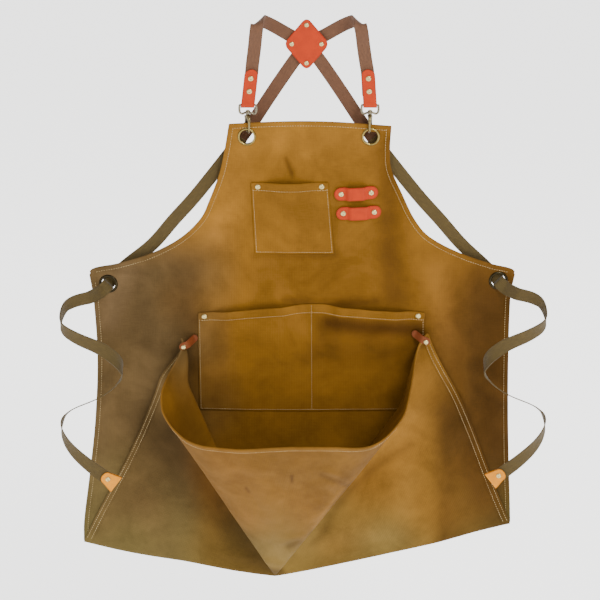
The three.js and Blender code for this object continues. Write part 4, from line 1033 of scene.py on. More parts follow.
# The pouch's folds, as seen from the front
flapFolds = [
    (((152, -668), (108, -724), (72, -757), (42, -794), (17, -842), (6, -872)), 6, 2.6),
    (((166, -690), (118, -738), (84, -770), (56, -806), (32, -850)), 9, -3.4),
    (((195, -568), (160, -664), (125, -712)), 13, 2.6),
    (((208, -560), (208, -696), (200, -803), (190, -870)), 14, 3.4),
    (((228, -640), (232, -770), (228, -880)), 14, -4.0),
    (((30, -741), (68, -763)), 5, -2.2),
    (((24, -730), (74, -752)), 7, 1.6),
    (((35, -768), (46, -787)), 4, -1.6),
    (((-25, -744), (-24, -755)), 3, -1.2),
    (((-100, -768), (-95, -773)), 4, -1.2),
    (((-30, -880), (-10, -872)), 8, -3.0),
    (((-44, -868), (0, -858)), 10, 1.8),
    (((36, -850), (12, -880)), 9, -1.8),
    (((-135, -722), (-100, -800), (-75, -856)), 18, -2.4),
    (((-85, -722), (-60, -800), (-50, -856)), 17, 2.2),
    (((-20, -720), (-20, -840)), 20, -1.6),
    (((-270, -800), (-220, -890)), 18, 2.4),
    (((-230, -790), (-180, -900)), 22, -2.4),
    (((262, -700), (268, -860)), 18, 2.0),
    (((-330, -872), (-200, -892)), 12, 1.6),
    (((40, -900), (130, -886), (210, -868)), 9, 2.0),
    (((-40, -916), (-120, -904), (-190, -892)), 9, 1.8),
]


def flapLift(z):
    overPocket = smoothStep((z + 640 + 90) / 60)
    return flap["gap"] + sheet["thickness"] / 2 + (1.6 + 0.6 + 0.6) * overPocket


def flapHem(across):
    return flap["height"] - flap["hemFall"] * smoothStep((across / flap["right"] - 0.15) / 0.85)


def flapFold(across):
    return -abs(across) * math.tan(flap["leftTilt"] if across < 0 else flap["rightTilt"])


def flapPlace(across, down):
    radius = math.hypot(across, down)
    cloth = math.degrees(math.atan2(across, down))
    lean = math.radians(smoothRow(flapDirections, cloth, 1))
    forward = math.radians(smoothRow(flapDirections, cloth, 2))
    x = sheet["lowX"] + radius * math.sin(lean) * math.cos(forward)
    z = sheet["lowZ"] + radius * math.cos(lean) * math.cos(forward)
    ahead = radius * math.sin(forward)
    for side, move, reach in cornerPulls:
        corner = -flap["left"] if side < 0 else flap["right"]
        away = math.hypot(across - corner, down - flapHem(corner)) / reach
        share = (1 - away * away) ** 2 if away < 1 else 0.0
        x += move[0] * share
        ahead -= move[1] * share
        z += move[2] * share
    up = (down - flapFold(across)) / (flapHem(across) - flapFold(across))
    belly = math.sin(math.pi * min(1, max(0, up)))
    if across < 0:
        x += flap["pullLeft"] * belly * (-across / flap["left"]) ** 3
    else:
        x += flap["pullRight"] * belly * (across / flap["right"]) ** 4
    z += tipRise(across) * (1 - min(1, up)) ** 8
    ahead = max(0.0, ahead)
    free = smoothStep(ahead / 30)
    crumple = foldsAt(flapFolds, *seenAt(x, sheet["frontY"] - ahead, z))
    crumple += noise.noise(Vector((across * 0.02, 5.3, down * 0.02))) * 1.6
    crumple += noise.noise(Vector((across * 0.05, 1.3, down * 0.05))) * 0.6
    calm = smoothStep(up / 0.06) * (0.55 + 0.45 * free)
    return Vector((x, sheetFront(x, z) - flapLift(z) - ahead - max(-0.4, crumple) * calm - 0.3, z))


def flapNormal(across, down):
    step = 1.2
    alongA = flapPlace(across + step, down) - flapPlace(across - step, down)
    alongD = flapPlace(across, down + step) - flapPlace(across, down - step)
    return alongA.cross(alongD).normalized()


def foldAcross(hemAcross):
    width = flap["left"] if hemAcross < 0 else flap["right"]
    share = abs(hemAcross) / width
    outside = max(0.0, (share - flap["bellyShare"]) / (1 - flap["bellyShare"])) ** 1.15
    return math.copysign(width * (flap["tipSpread"] * share + (1 - flap["tipSpread"]) * outside), hemAcross)


def flapCloth(u, v):
    hemAcross = -flap["left"] + (flap["left"] + flap["right"]) * u
    foldAt = foldAcross(hemAcross)
    up = max(0.0, (v - flap["turnShare"]) / (1 - flap["turnShare"]))
    across = foldAt + (hemAcross - foldAt) * up
    down = flapFold(foldAt) + (flapHem(hemAcross) - flapFold(foldAt)) * up
    return across, down


def flapSurface(u, v):
    across, down = flapCloth(u, v)
    if v < flap["turnShare"]:
        turn = math.pi * (1 - v / flap["turnShare"])
        start = flapPlace(across, down)
        lift = flapLift(start.z) + sheet["thickness"] / 2
        radius = lift / 2
        middleY = sheetFront(start.x, start.z) + sheet["thickness"] / 2 - radius
        outer = radius + sheet["thickness"] / 2
        return start.x, middleY - outer * math.cos(turn), start.z - outer * math.sin(turn)
    spot = flapPlace(across, down) + Vector((0, -0.8, 0))
    return tuple(spot)


def flapUv(u, v):
    across, down = flapCloth(u, v)
    return (across + 400) * mm, (down + 200) * mm


flapRows = evenly(8, 0, flap["turnShare"]) + evenly(92, flap["turnShare"] + 0.008, 1)
pouchCloth = gridPiece("pouchCloth", evenly(210), flapRows, flapSurface, flapUv)
thicken(pouchCloth, sheet["thickness"], bevel=0)
paintTint(pouchCloth, True, flapShades, flapLights)
finishPiece(pouchCloth, materials["reverse"], nodes=["pouch_flap"])

# The flap's own hems show on its outside, as raised double-stitched bands
sideBand = [
    (12.6, -0.6), (12.5, 0.9), (11.8, 1.2), (9.6, 0.95), (6.2, 1.35), (2.8, 1.0), (0.9, 1.2), (-0.3, 0.9),
    (-0.9, 0.1), (-0.9, -1.0), (-0.3, -1.9), (1.2, -2.1), (1.6, -0.9),
]
rimBand = [
    (9.0, -0.6), (8.9, 0.7), (8.2, 1.0), (6.2, 0.7), (3.4, 1.1), (0.9, 1.0), (-0.4, 0.6),
    (-1.0, -0.2), (-1.0, -1.1), (-0.4, -1.9), (1.2, -2.1), (1.6, -0.9),
]


def flapSpot(across, down):
    normal = flapNormal(across, down)
    return flapPlace(across, down) + Vector((0, -0.8, 0)), normal


def sideSurface(side):
    def surface(share, distance):
        across = -flap["left"] + distance if side < 0 else flap["right"] - distance
        low, high = flapFold(across) + 3, flapHem(across) - 1
        return flapSpot(across, low + (high - low) * share)
    return surface


def rimSurface(share, distance):
    across = -flap["left"] + 1 + (flap["left"] + flap["right"] - 2) * share
    return flapSpot(across, flapHem(across) - distance)


pouchStitches = []
for name, surface, count, section, lines in (
    ("pouchHemLeft", sideSurface(-1), 110, sideBand, (2.8, 9.6)),
    ("pouchHemRight", sideSurface(1), 110, sideBand, (2.8, 9.6)),
    ("pouchHemRim", rimSurface, 200, rimBand, (6.2,)),
):
    band = bandPiece(name, count, surface, section)
    paintTint(band, True, flapShades, flapLights, 0.28 if name.endswith("Rim") else 0.0)
    finishPiece(band, materials["reverse"])
    for distance in lines:
        spots = []
        for share in evenly(240, 0.01, 0.985):
            spot, normal = surface(share, distance)
            spots.append((spot + normal * (1.0 if section is sideBand else 0.75), normal))
        pouchStitches.append(spots)
pouchThread = stitchPiece("pouchStitches", pouchStitches)
finishPiece(pouchThread, materials["thread"])
print("pouch hems done")

# Pockets
bibPocket = {"x": -27.7, "half": 60.5, "top": -252.5, "low": -369.5, "shift": 7.7, "lowHalf": 62.6, "belly": 8.0}
lowerPocket = {
    "x": 7.0, "half": 182.0, "top": -472.0, "low": -640.0,
    "shift": 1.0, "lowHalf": 183.0, "belly": 10.5,
}
pocketGap = 0.6
seamMargin, bellyRun, seamRise = 17.0, 34.0, 16.0
pocketFolds = [
    (((-60, -262), (-44, -330)), 12, 0.9),
    (((0, -270), (22, -350)), 14, -0.8),
    (((-30, -338), (6, -352)), 8, 0.8),
    (((-120, -500), (-60, -520)), 16, 1.2),
    (((70, -500), (130, -486)), 12, 1.5),
    (((90, -520), (150, -500)), 12, -1.2),
]


def pocketPoint(pocket, u, v):
    half = pocket["half"] + (pocket["lowHalf"] - pocket["half"]) * v
    x = pocket["x"] + pocket["shift"] * v + half * (2 * u - 1)
    rise = seamRise * (1 - abs(2 * u - 1) ** 1.4) if pocket is lowerPocket else 0.0
    return x, pocket["top"] + (pocket["low"] - pocket["top"]) * v + rise * (1 - v)


def pocketPlace(pocket, u, v):
    x, z = pocketPoint(pocket, u, v)
    edges = (u, 1 - u, abs(u - 0.5)) if pocket is lowerPocket else (u, 1 - u)
    away = min(edges) * 2 * pocket["half"]
    fade = math.cos(math.pi / 2 * min(1, v * 1.15)) ** 1.4 if v * 1.15 < 1 else 0.0
    belly = pocket["belly"] * smoothStep((away - seamMargin) / bellyRun) * fade
    inside = smoothStep(away / 14) * smoothStep((1 - v) * 8)
    soft = (foldsAt(pocketFolds, x, z) + noise.noise(Vector((x * 0.04, 2.2, z * 0.04))) * 0.7) * inside
    return Vector((x, sheetFront(x, z) - pocketGap - sheet["thickness"] - belly - max(-0.3, soft), z))


def pocketNormal(pocket, u, v):
    step = 0.004
    alongU = pocketPlace(pocket, min(1, u + step), v) - pocketPlace(pocket, max(0, u - step), v)
    alongV = pocketPlace(pocket, u, min(1, v + step)) - pocketPlace(pocket, u, max(0, v - step))
    return alongV.cross(alongU).normalized()


def pocketSpot(pocket, u, v, lift):
    normal = pocketNormal(pocket, u, v)
    return pocketPlace(pocket, u, v) + normal * lift, normal


mouthSection = [
    (14.4, -0.5), (14.3, 0.25), (13.4, 0.5), (12.0, 0.25), (8.0, 0.6), (3.0, 0.6), (0.4, 0.35), (-0.6, -0.2),
    (-0.8, -0.9), (-0.4, -1.9), (1.0, -2.2), (1.4, -0.9),
]
pocketThreads = []
for name, pocket, node, size in (
    ("bibPocketCloth", bibPocket, "bib_pocket", (56, 56)),
    ("lowerPocketCloth", lowerPocket, "lower_pocket", (130, 60)),
):
    height = pocket["top"] - pocket["low"]
    cloth = gridPiece(
        name, evenly(size[0]), evenly(size[1]),
        lambda u, v, p=pocket: pocketPlace(p, u, v),
        lambda u, v, p=pocket: ((pocketPoint(p, u, v)[0] + 400) * mm, (pocketPoint(p, u, v)[1] + 1000) * mm),
        flip=True,
    )
    thicken(cloth, sheet["thickness"], bevel=0.5)
    paintTint(cloth, shades=pocketShades if node == "lower_pocket" else (), lights=sheetLights)
    finishPiece(cloth, materials["canvas"], nodes=[node])

    def mouthSurface(share, distance, p=pocket, h=height):
        u = 0.004 + 0.992 * share
        v = distance / h
        normal = pocketNormal(p, u, max(0, v))
        spot = pocketPlace(p, u, max(0, v))
        return spot + Vector((0, 0, max(0, -distance))), normal

    band = bandPiece(name.replace("Cloth", "Mouth"), 100, mouthSurface, mouthSection)
    paintTint(band, lights=sheetLights)
    finishPiece(band, materials["canvas"])
    inset = 2.6
    du, dv = inset / (2 * pocket["half"]), inset / height
    left = [pocketSpot(pocket, du, v, 0.1) for v in evenly(120, 0.01, 1 - dv)]
    bottom = [pocketSpot(pocket, u, 1 - dv, 0.1) for u in evenly(160, du, 1 - du)]
    right = [pocketSpot(pocket, 1 - du, v, 0.1) for v in evenly(120, 0.01, 1 - dv)]
    mouth = [mouthSurface(share, 12.0) for share in evenly(160, 0.01, 0.99)]
    mouth = [(spot + normal * 0.35, normal) for spot, normal in mouth]
    pocketThreads += [left, bottom, right, mouth]
    if pocket is lowerPocket:
        seam = [pocketSpot(pocket, 0.5, v, 0.45 if v < 0.09 else 0.1) for v in evenly(140, 0.005, 0.985)]
        pocketThreads.append(seam)
pocketThread = stitchPiece("pocketStitches", pocketThreads)
finishPiece(pocketThread, materials["thread"])
print("pockets done")

# Eyelets
eyeletProfile = [
    (11.2, -1.3), (11.9, -1.75), (13.0, -1.95), (14.3, -1.6), (15.2, -0.9), (15.4, -0.35), (14.6, -0.35),
    (12.2, -0.35), (12.2, 2.8), (14.4, 2.8), (14.4, 3.7), (11.6, 3.9), (11.2, 3.4),
]
for node, x, z in eyelets:
    slim = 0.7 if node.startswith("bib") else 1.0
    profile = [(12.2 + (r - 12.2) * slim if r > 12.2 else r, h) for r, h in eyeletProfile]
    ring = turnedPiece(node.replace("_", ""), profile, 56)
    turn = Vector((0, 0, -1)).rotation_difference(surfaceNormal(x, z)).to_matrix().to_4x4()
    ring.data.transform(Matrix.Translation(Vector((x, sheetFront(x, z), z)) * mm) @ turn)
    material = materials["eyelet"] if node.startswith("bib") else materials["darkEyelet"]
    finishPiece(ring, material, nodes=[node])

# Rivets: a low cap with a dished middle
capProfile = [
    (0.0, 0.0), (4.35, 0.0), (4.4, 0.3), (4.2, 0.75), (3.6, 1.25),
    (2.7, 1.55), (1.9, 1.5), (1.2, 1.3), (0.0, 1.2),
]
capModel = turnedPiece("capModel", capProfile, 32)


def setRivet(node, centre, normal, scale=1.0):
    turn = Vector((0, 0, 1)).rotation_difference(normal).to_matrix().to_4x4()
    matrix = Matrix.Translation(Vector(centre) * mm) @ turn @ Matrix.Scale(scale, 4)
    name = "cap" + "".join(word.capitalize() for word in node.split("_"))
    cap = copyOf(capModel, name, matrix)
    return finishPiece(cap, materials["rivet"], nodes=[node])


pocketRivets = {"in": 10.5, "down": 6.0}
for node, pocket in (("bib_pocket", bibPocket), ("lower_pocket", lowerPocket)):
    for side, sign in (("left", -1), ("right", 1)):
        u = pocketRivets["in"] / (2 * pocket["half"])
        u = u if sign < 0 else 1 - u
        spot, normal = pocketSpot(pocket, u, pocketRivets["down"] / (pocket["top"] - pocket["low"]), 0.62)
        setRivet(f"{node}_rivet_{side}", spot, normal)


# Leather straps: centre line and half width along the length, rounded edges
def leatherStrap(name, count, station, thickness, sides=8, bevel=0.5):
    def place(u, v):
        at, across, half = station(u)
        return Vector(at) + Vector(across) * half * (2 * v - 1)
    spread = [0.5 - 0.5 * math.cos(math.pi * i / count) for i in range(count + 1)]
    strap = gridPiece(name, spread, evenly(sides), place)
    solid = strap.modifiers.new("thickness", "SOLIDIFY")
    solid.thickness = thickness * mm
    solid.offset = 0
    solid.use_even_offset = False
    edge = strap.modifiers.new("softEdge", "BEVEL")
    edge.width = bevel * mm
    edge.segments = 3
    edge.limit_method = "ANGLE"
    edge.angle_limit = math.radians(50)
    applyModifiers(strap)
    shadeSmooth(strap, 35)
    return strap


toolLoops = [
    ("tool_loop_upper", 42.6, 111.6, -271.2, -268.4),
    ("tool_loop_lower", 46.0, 116.8, -303.2, -300.4),
]
loopSize = {"height": 21.0, "belly": 5.8, "inset": 11.0, "thickness": 2.2}
for node, leftX, rightX, leftZ, rightZ in toolLoops:
    length = rightX - leftX
    flatEnd = (loopSize["inset"] + 4.2) / length
    radius = loopSize["height"] / 2

    def station(u, leftX=leftX, length=length, leftZ=leftZ, rightZ=rightZ, flatEnd=flatEnd):
        x = leftX + length * u
        z = leftZ + (rightZ - leftZ) * u
        fromEnd = min(u, 1 - u)
        inner = (fromEnd - flatEnd) / (0.5 - flatEnd)
        off = pocketGap + 1.1 + loopSize["belly"] * smoothStep((inner - 0.05) * 2.2)
        reach = min(1.0, fromEnd * length / radius)
        half = radius * math.sqrt(max(0.003, 1 - (1 - reach) ** 2))
        return (x, sheetFront(x, z) - off, z), (0, 0, 1), half

    strap = leatherStrap("leather" + node.title().replace("_", ""), 60, station, loopSize["thickness"], 10)
    def loopRim(co, leftX=leftX, rightX=rightX, leftZ=leftZ, rightZ=rightZ):
        u = (co.x - leftX) / (rightX - leftX)
        middle = leftZ + (rightZ - leftZ) * u
        inner = max(abs(co.x - (leftX + rightX) / 2) - (rightX - leftX) / 2 + radius, 0)
        return smoothStep((math.hypot(inner, co.z - middle) - radius + 2.2) / 2)
    paintRim(strap, loopRim)
    finishPiece(strap, materials["red"], nodes=[node])
    for side, share in (("left", loopSize["inset"] / length), ("right", 1 - loopSize["inset"] / length)):
        x, z = leftX + length * share, leftZ + (rightZ - leftZ) * share
        normal = surfaceNormal(x, z)
        spot = Vector((x, sheetFront(x, z), z)) + normal * (pocketGap + loopSize["thickness"])
        setRivet(f"{node}_rivet_{side}", spot, normal)
print("leather loops done")

# Snap hooks, wire loops and strap tabs
bibSides = [("left", -92.2, -85.6, 16.0), ("right", 97.6, 93.6, -4.0)]
hookY = -4.2
loop = {"topZ": -127.2, "lowZ": -141.4, "collarZ": -139.2, "half": 13.0, "wire": 1.7}
tab = {"width": 21.0, "topZ": -70.5, "rivets": (-84.5, -105.0), "thickness": 2.2}
web = {"width": 20.6, "thickness": 1.6}


def wirePiece(name, points, radii, cyclic=False, resolution=6):
    curve = bpy.data.curves.new(name, "CURVE")
    curve.dimensions = "3D"
    curve.bevel_depth = 1.0 * mm
    curve.bevel_resolution = 4
    curve.resolution_u = resolution
    curve.use_fill_caps = True
    line = curve.splines.new("BEZIER")
    line.bezier_points.add(len(points) - 1)
    for knot, point, radius in zip(line.bezier_points, points, radii):
        knot.co = Vector(point) * mm
        knot.radius = radius
        knot.handle_left_type = knot.handle_right_type = "AUTO"
    line.use_cyclic_u = cyclic
    piece = bpy.data.objects.new(name, curve)
    bpy.context.scene.collection.objects.link(piece)
    pick(piece)
    bpy.ops.object.convert(target="MESH")
    piece = bpy.context.object
    piece.name = name
    piece.data.name = name
    shadeSmooth(piece, 50)
    return piece


def joinInto(main, *others):
    deselect()
    for piece in others:
        piece.select_set(True)
    main.select_set(True)
    bpy.context.view_layer.objects.active = main
    bpy.ops.object.join()
    return bpy.context.object


def dLoop(side, x):
    half, top, low = loop["half"], loop["topZ"], loop["lowZ"]
    outline = [
        (-half + 2, top), (0, top), (half - 2, top), (half - 0.4, top - 0.7), (half, top - 2.4), (half, low + 5),
        (half - 1.2, low + 1.6), (half - 4.4, low + 0.1), (half * 0.42, loop["collarZ"] - 0.9),
        (0, loop["collarZ"]), (-half * 0.42, loop["collarZ"] - 0.9),
        (-half + 4.4, low + 0.1), (-half + 1.2, low + 1.6), (-half, low + 5),
        (-half, top - 2.4), (-half + 0.4, top - 0.7),
    ]
    spots = [(x + a, hookY, z) for a, z in outline]
    ring = wirePiece(f"dLoop{side.title()}", spots, [loop["wire"]] * len(outline), True, 8)
    collarProfile = [(1.9, -2.5), (3.3, -2.5), (3.8, -1.9), (4.0, 0), (3.8, 1.9), (3.3, 2.5), (1.9, 2.5)]
    collar = turnedPiece("collar", collarProfile, 28)
    collar.data.transform(Matrix.Translation(Vector((x, hookY, loop["collarZ"])) * mm))
    return joinInto(ring, collar)


def snapHook(side):
    lowZ = -178.0 + 11.2 * math.cos(math.pi / 16) - 1.9 - 1.7
    top = -142.0
    path = [
        ((0, -0.8, top - 2.4), 2.6), ((0, -3.8, top - 4.2), 2.7), ((0, -6.6, top - 8), 2.3),
        ((0, -7.4, top - 13), 2.0), ((0, -7.3, lowZ + 8), 1.8), ((0, -6.0, lowZ + 3), 1.7),
        ((0, -2.6, lowZ + 0.3), 1.7), ((0, 3.4, lowZ), 1.7),
        ((0, 8.2, lowZ + 2.0), 1.7), ((0, 10.2, lowZ + 6.2), 1.6), ((0, 10.2, -159.4), 1.3),
    ]
    bow = wirePiece(f"snapHook{side.title()}", [p for p, r in path], [r for p, r in path], False, 8)
    body = turnedPiece("hookBody", [
        (0.0, 5.9), (2.7, 5.9), (2.8, 5.3), (2.6, 4.6), (1.6, 4.6),
        (1.6, -1.0), (2.8, -1.1), (3.5, -1.7), (3.7, -3.0),
        (3.5, -4.6), (2.6, -5.6), (0.0, -6.0),
    ], 28)
    body.data.transform(Matrix.Translation(Vector((0, 0, top + 0.6)) * mm))
    deselect()
    bpy.ops.mesh.primitive_cube_add(size=1.0)
    ear = bpy.context.object
    earSize = Matrix.Diagonal((2.8 * mm, 9.2 * mm, 6.2 * mm, 1))
    ear.data.transform(Matrix.Translation(Vector((0, 4.6, -146.4)) * mm) @ earSize)
    edge = ear.modifiers.new("softEdge", "BEVEL")
    edge.width = 0.9 * mm
    edge.segments = 3
    applyModifiers(ear)
    shadeSmooth(ear)
    pin = turnedPiece("hookPin", [(0.0, -3.7), (0.9, -3.7), (1.1, -3.5), (1.1, 3.5), (0.9, 3.7), (0.0, 3.7)], 20)
    pin.data.transform(Matrix.Translation(Vector((0, 7.2, -147.8)) * mm) @ Matrix.Rotation(math.pi / 2, 4, "Y"))
    return joinInto(bow, body, ear, pin)


def hookGate(side):
    deselect()
    bpy.ops.mesh.primitive_cylinder_add(
        vertices=32, radius=2.6 * mm, depth=6.6 * mm, rotation=(0, math.pi / 2, 0),
    )
    gate = bpy.context.object
    gate.name = f"hookGate{side.title()}"
    bpy.ops.object.transform_apply(location=False, rotation=True, scale=False)
    reach = 10.2 - 1.7 * 1.25 - 0.3 - 7.2
    for vertex in gate.data.vertices:
        if vertex.co.z < -0.2 * mm:
            share = -vertex.co.z / (2.6 * mm)
            vertex.co.z = -share * 14.6 * mm
            thin = 1.0 if share < 0.95 else 0.8
            vertex.co.y = reach * mm - 1.1 * mm + (vertex.co.y / (2.6 * mm)) * 1.1 * mm * thin
    gate.data.transform(Matrix.Translation(Vector((0, 7.2, -147.8)) * mm))
    edge = gate.modifiers.new("softEdge", "BEVEL")
    edge.width = 0.35 * mm
    edge.segments = 2
    edge.limit_method = "ANGLE"
    applyModifiers(gate)
    shadeSmooth(gate)
    return gate


def strapTab(side, topX, lowX):
    closeOff = web["thickness"] / 2 + 0.36 + tab["thickness"] / 2
    wideOff = loop["wire"] + 0.6 + tab["thickness"] / 2
    down = tab["topZ"] - loop["topZ"]
    legs = []
    for i in evenly(46):
        z = tab["topZ"] - down * i
        off = closeOff + (wideOff - closeOff) * smoothStep((z - loop["topZ"] - 9) / -9)
        legs.append((off, z))
    line = [(hookY - off, z) for off, z in legs]
    line += [
        (hookY - wideOff * math.cos(math.pi * s), loop["topZ"] - wideOff * math.sin(math.pi * s))
        for s in evenly(16)[1:-1]
    ]
    line += [(hookY + off, z) for off, z in reversed(legs)]
    half = tab["width"] / 2

    def place(u, v):
        i = round(u * (len(line) - 1))
        y, z = line[i]
        reach = min(1.0, max(0.0, (tab["topZ"] - z) / half))
        wide = half * math.sqrt(max(0.02, 1 - (1 - reach) ** 2))
        x = topX + (lowX - topX) * (tab["topZ"] - z) / down
        return Vector((x + wide * (2 * v - 1), y, z))

    strap = gridPiece(f"strapTab{side.title()}", evenly(len(line) - 1), evenly(10), place)
    solid = strap.modifiers.new("thickness", "SOLIDIFY")
    solid.thickness = tab["thickness"] * mm
    solid.offset = 0
    solid.use_even_offset = False
    edge = strap.modifiers.new("softEdge", "BEVEL")
    edge.width = 0.5 * mm
    edge.segments = 3
    edge.limit_method = "ANGLE"
    edge.angle_limit = math.radians(50)
    applyModifiers(strap)
    shadeSmooth(strap, 35)

    def rim(co):
        middle = topX + (lowX - topX) * (tab["topZ"] - co.z) / down
        return smoothStep((abs(co.x - middle) - half + 1.8) / 1.6)

    paintRim(strap, rim)
    return strap


for side, hookX, topX, turnDegrees in bibSides:
    ring = dLoop(side, hookX)
    finishPiece(ring, materials["steel"], nodes=[f"d_loop_{side}"])
    turned = Matrix.Rotation(math.radians(turnDegrees), 4, "Z")
    swing = Matrix.Translation(Vector((hookX, hookY, 0)) * mm) @ turned
    hook = snapHook(side)
    hook.data.transform(swing)
    finishPiece(hook, materials["hook"], f"hook_{side}", [f"snap_hook_{side}"])
    gate = hookGate(side)
    gate.data.transform(swing)
    finishPiece(gate, materials["steel"], f"gate_{side}", [f"hook_gate_{side}"])
    strap = strapTab(side, topX, hookX)
    finishPiece(strap, materials["red"], nodes=[f"strap_tab_{side}"])
    for place, z in zip(("upper", "lower"), tab["rivets"]):
        share = (tab["topZ"] - z) / (tab["topZ"] - loop["topZ"])
        x = topX + (hookX - topX) * share
        y = hookY - web["thickness"] / 2 - 0.4 - tab["thickness"]
        setRivet(f"strap_tab_{side}_rivet_{place}", (x, y, z), Vector((0, -1, 0)))
print("hooks and tabs done")

# Webbing
shoulder = {"depth": 15.0, "crossingY": 23.0, "sewnY": 9.4, "layer": 1.9}
patch = {"x": -1.0, "z": -36.4, "wide": 36.0, "tall": 43.0, "corner": 0.2, "rivetWide": 0.64, "rivetTall": 0.7}
shoulderRows = [
    (88.9, 0, -112, (1, 0, -0.05)), (85.6, 0, -73, (1, 0, -0.06)), (84.6, 0, -63, (1, 0, -0.07)),
    (81.2, -0.35, -36, (0.99, 0, -0.12)), (78.2, -0.85, -8, (0.93, -0.05, -0.3)),
    (76.6, -0.8, 1.4, (0.86, -0.1, -0.45)), (73.2, 0, 5.4, (0.68, 0.12, -0.68)),
    (67.6, 0.86, 1.2, (0.42, 0.12, -0.9)), (55, 1.4, -6.6, (0.47, 0.04, -0.88)),
    (30, 1.53, -21.5, (0.51, 0, -0.86)),
]
crossingRows = [
    (4, 23.0, -37, (0.66, 0, -0.75)), (-14, 23.0, -56, (0.78, 0, -0.62)), (-34, 22.7, -84, (0.82, 0, -0.57)),
    (-60, 17.6, -122, (0.82, 0, -0.57)), (-83.5, 11.2, -157, (0.82, 0, -0.57)),
    (-98, 10.4, -177, (0.82, 0, -0.57)),
    (-116, 9.4, -202, (0.78, 0, -0.62)),
]


def shoulderTable(sign, layer, topX, lowX):
    shiftTop, shiftLow = abs(topX) - 85.6, abs(lowX) - 91
    table = []
    for i, (x, y, z, wide) in enumerate(shoulderRows):
        shift = shiftLow if i == 0 else shiftTop * (1 - i / len(shoulderRows))
        if i < 3:
            depth = hookY
        elif y < 0:
            depth = y * shoulder["depth"] + hookY * (1 + y)
        else:
            depth = y * shoulder["depth"]
        settle = layer * shoulder["layer"] if i >= 8 else 0
        table.append(((sign * (x + shift), depth + settle, z), (sign * wide[0], wide[1], wide[2])))
    for x, y, z, wide in crossingRows:
        table.append(((sign * x, y + layer * shoulder["layer"], z), (sign * wide[0], wide[1], wide[2])))
    return table


def runThrough(table, stepsEach):
    places = [Vector(at) for at, wide in table]
    widths = [Vector(wide).normalized() for at, wide in table]
    steps = stepsEach * (len(table) - 1)
    return [(curvePoint(places, s), curvePoint(widths, s).normalized()) for s in evenly(steps)]


def ribbonPiece(name, stations, width, thickness):
    lengths = [0.0]
    for (p, _), (q, _) in zip(stations, stations[1:]):
        lengths.append(lengths[-1] + (q - p).length)
    last = len(stations) - 1
    sides = [0.0, 0.06, 0.25, 0.5, 0.75, 0.94, 1.0]

    def place(u, v):
        i = round(u * last)
        at, across = stations[i]
        along = (stations[min(last, i + 1)][0] - stations[max(0, i - 1)][0]).normalized()
        side = (across - along * across.dot(along)).normalized()
        return at + side * width * (v - 0.5)

    def uvAt(u, v):
        return v * width * mm, lengths[round(u * last)] * mm

    ribbon = gridPiece(name, evenly(last), sides, place, uvAt)
    solid = ribbon.modifiers.new("thickness", "SOLIDIFY")
    solid.thickness = thickness * mm
    solid.offset = 0
    solid.use_even_offset = False
    edge = ribbon.modifiers.new("softEdge", "BEVEL")
    edge.width = 0.45 * mm
    edge.segments = 2
    edge.limit_method = "ANGLE"
    edge.angle_limit = math.radians(50)
    applyModifiers(ribbon)
    shadeSmooth(ribbon, 40)
    return ribbon, lengths[-1]


for layer, (side, hookX, topX, _) in enumerate(bibSides):
    sign = -1 if side == "left" else 1
    stations = runThrough(shoulderTable(sign, layer, topX, hookX), 12)
    ribbon, length = ribbonPiece(f"shoulderWebbing{side.title()}", stations, web["width"], web["thickness"])
    finishPiece(ribbon, materials["brownWeb"], nodes=[f"shoulder_strap_{side}"])
    print("shoulder webbing", side, round(length), "mm")


# Cross patch: a rounded diamond
def crossPatch():
    corners = [(patch["wide"], 0), (0, patch["tall"]), (-patch["wide"], 0), (0, -patch["tall"])]
    outline = []
    for i, (x, z) in enumerate(corners):
        bx, bz = corners[(i + 3) % 4]
        ax, az = corners[(i + 1) % 4]
        c = patch["corner"]
        start = Vector((x + (bx - x) * c, z + (bz - z) * c))
        finish = Vector((x + (ax - x) * c, z + (az - z) * c))
        corner = Vector((x, z))
        for s in evenly(10):
            outline.append(start * (1 - s) ** 2 + corner * 2 * s * (1 - s) + finish * s * s)
    deselect()
    bpy.ops.mesh.primitive_circle_add(vertices=len(outline), radius=1.0, fill_type="NGON")
    piece = bpy.context.object
    piece.name = "crossPatchLeather"
    y = shoulder["crossingY"] - web["thickness"] / 2 - 1.1 - 0.9 + 1.1
    for vertex, point in zip(piece.data.vertices, outline):
        vertex.co = Vector((patch["x"] + point.x, y, patch["z"] + point.y)) * mm
    bpy.ops.object.mode_set(mode="EDIT")
    bpy.ops.mesh.select_all(action="SELECT")
    bpy.ops.mesh.extrude_region_move(TRANSFORM_OT_translate={"value": (0, -2.2 * mm, 0)})
    bpy.ops.mesh.inset(thickness=0.7 * mm, depth=0)
    bpy.ops.mesh.inset(thickness=1.6 * mm, depth=0)
    bpy.ops.mesh.inset(thickness=3.0 * mm, depth=0)
    bpy.ops.mesh.select_all(action="SELECT")
    bpy.ops.mesh.normals_make_consistent(inside=False)
    bpy.ops.object.mode_set(mode="OBJECT")
    edge = piece.modifiers.new("softEdge", "BEVEL")
    edge.width = 0.55 * mm
    edge.segments = 3
    edge.limit_method = "ANGLE"
    edge.angle_limit = math.radians(50)
    applyModifiers(piece)
    shadeSmooth(piece, 35)
    slope = patch["tall"] / patch["wide"]

    def rim(co):
        dx, dz = abs(co.x - patch["x"]), abs(co.z - patch["z"])
        away = (patch["tall"] - dz - slope * dx) / math.sqrt(1 + slope * slope)
        return smoothStep((2.2 - away) / 2)

    paintRim(piece, rim)
    return piece


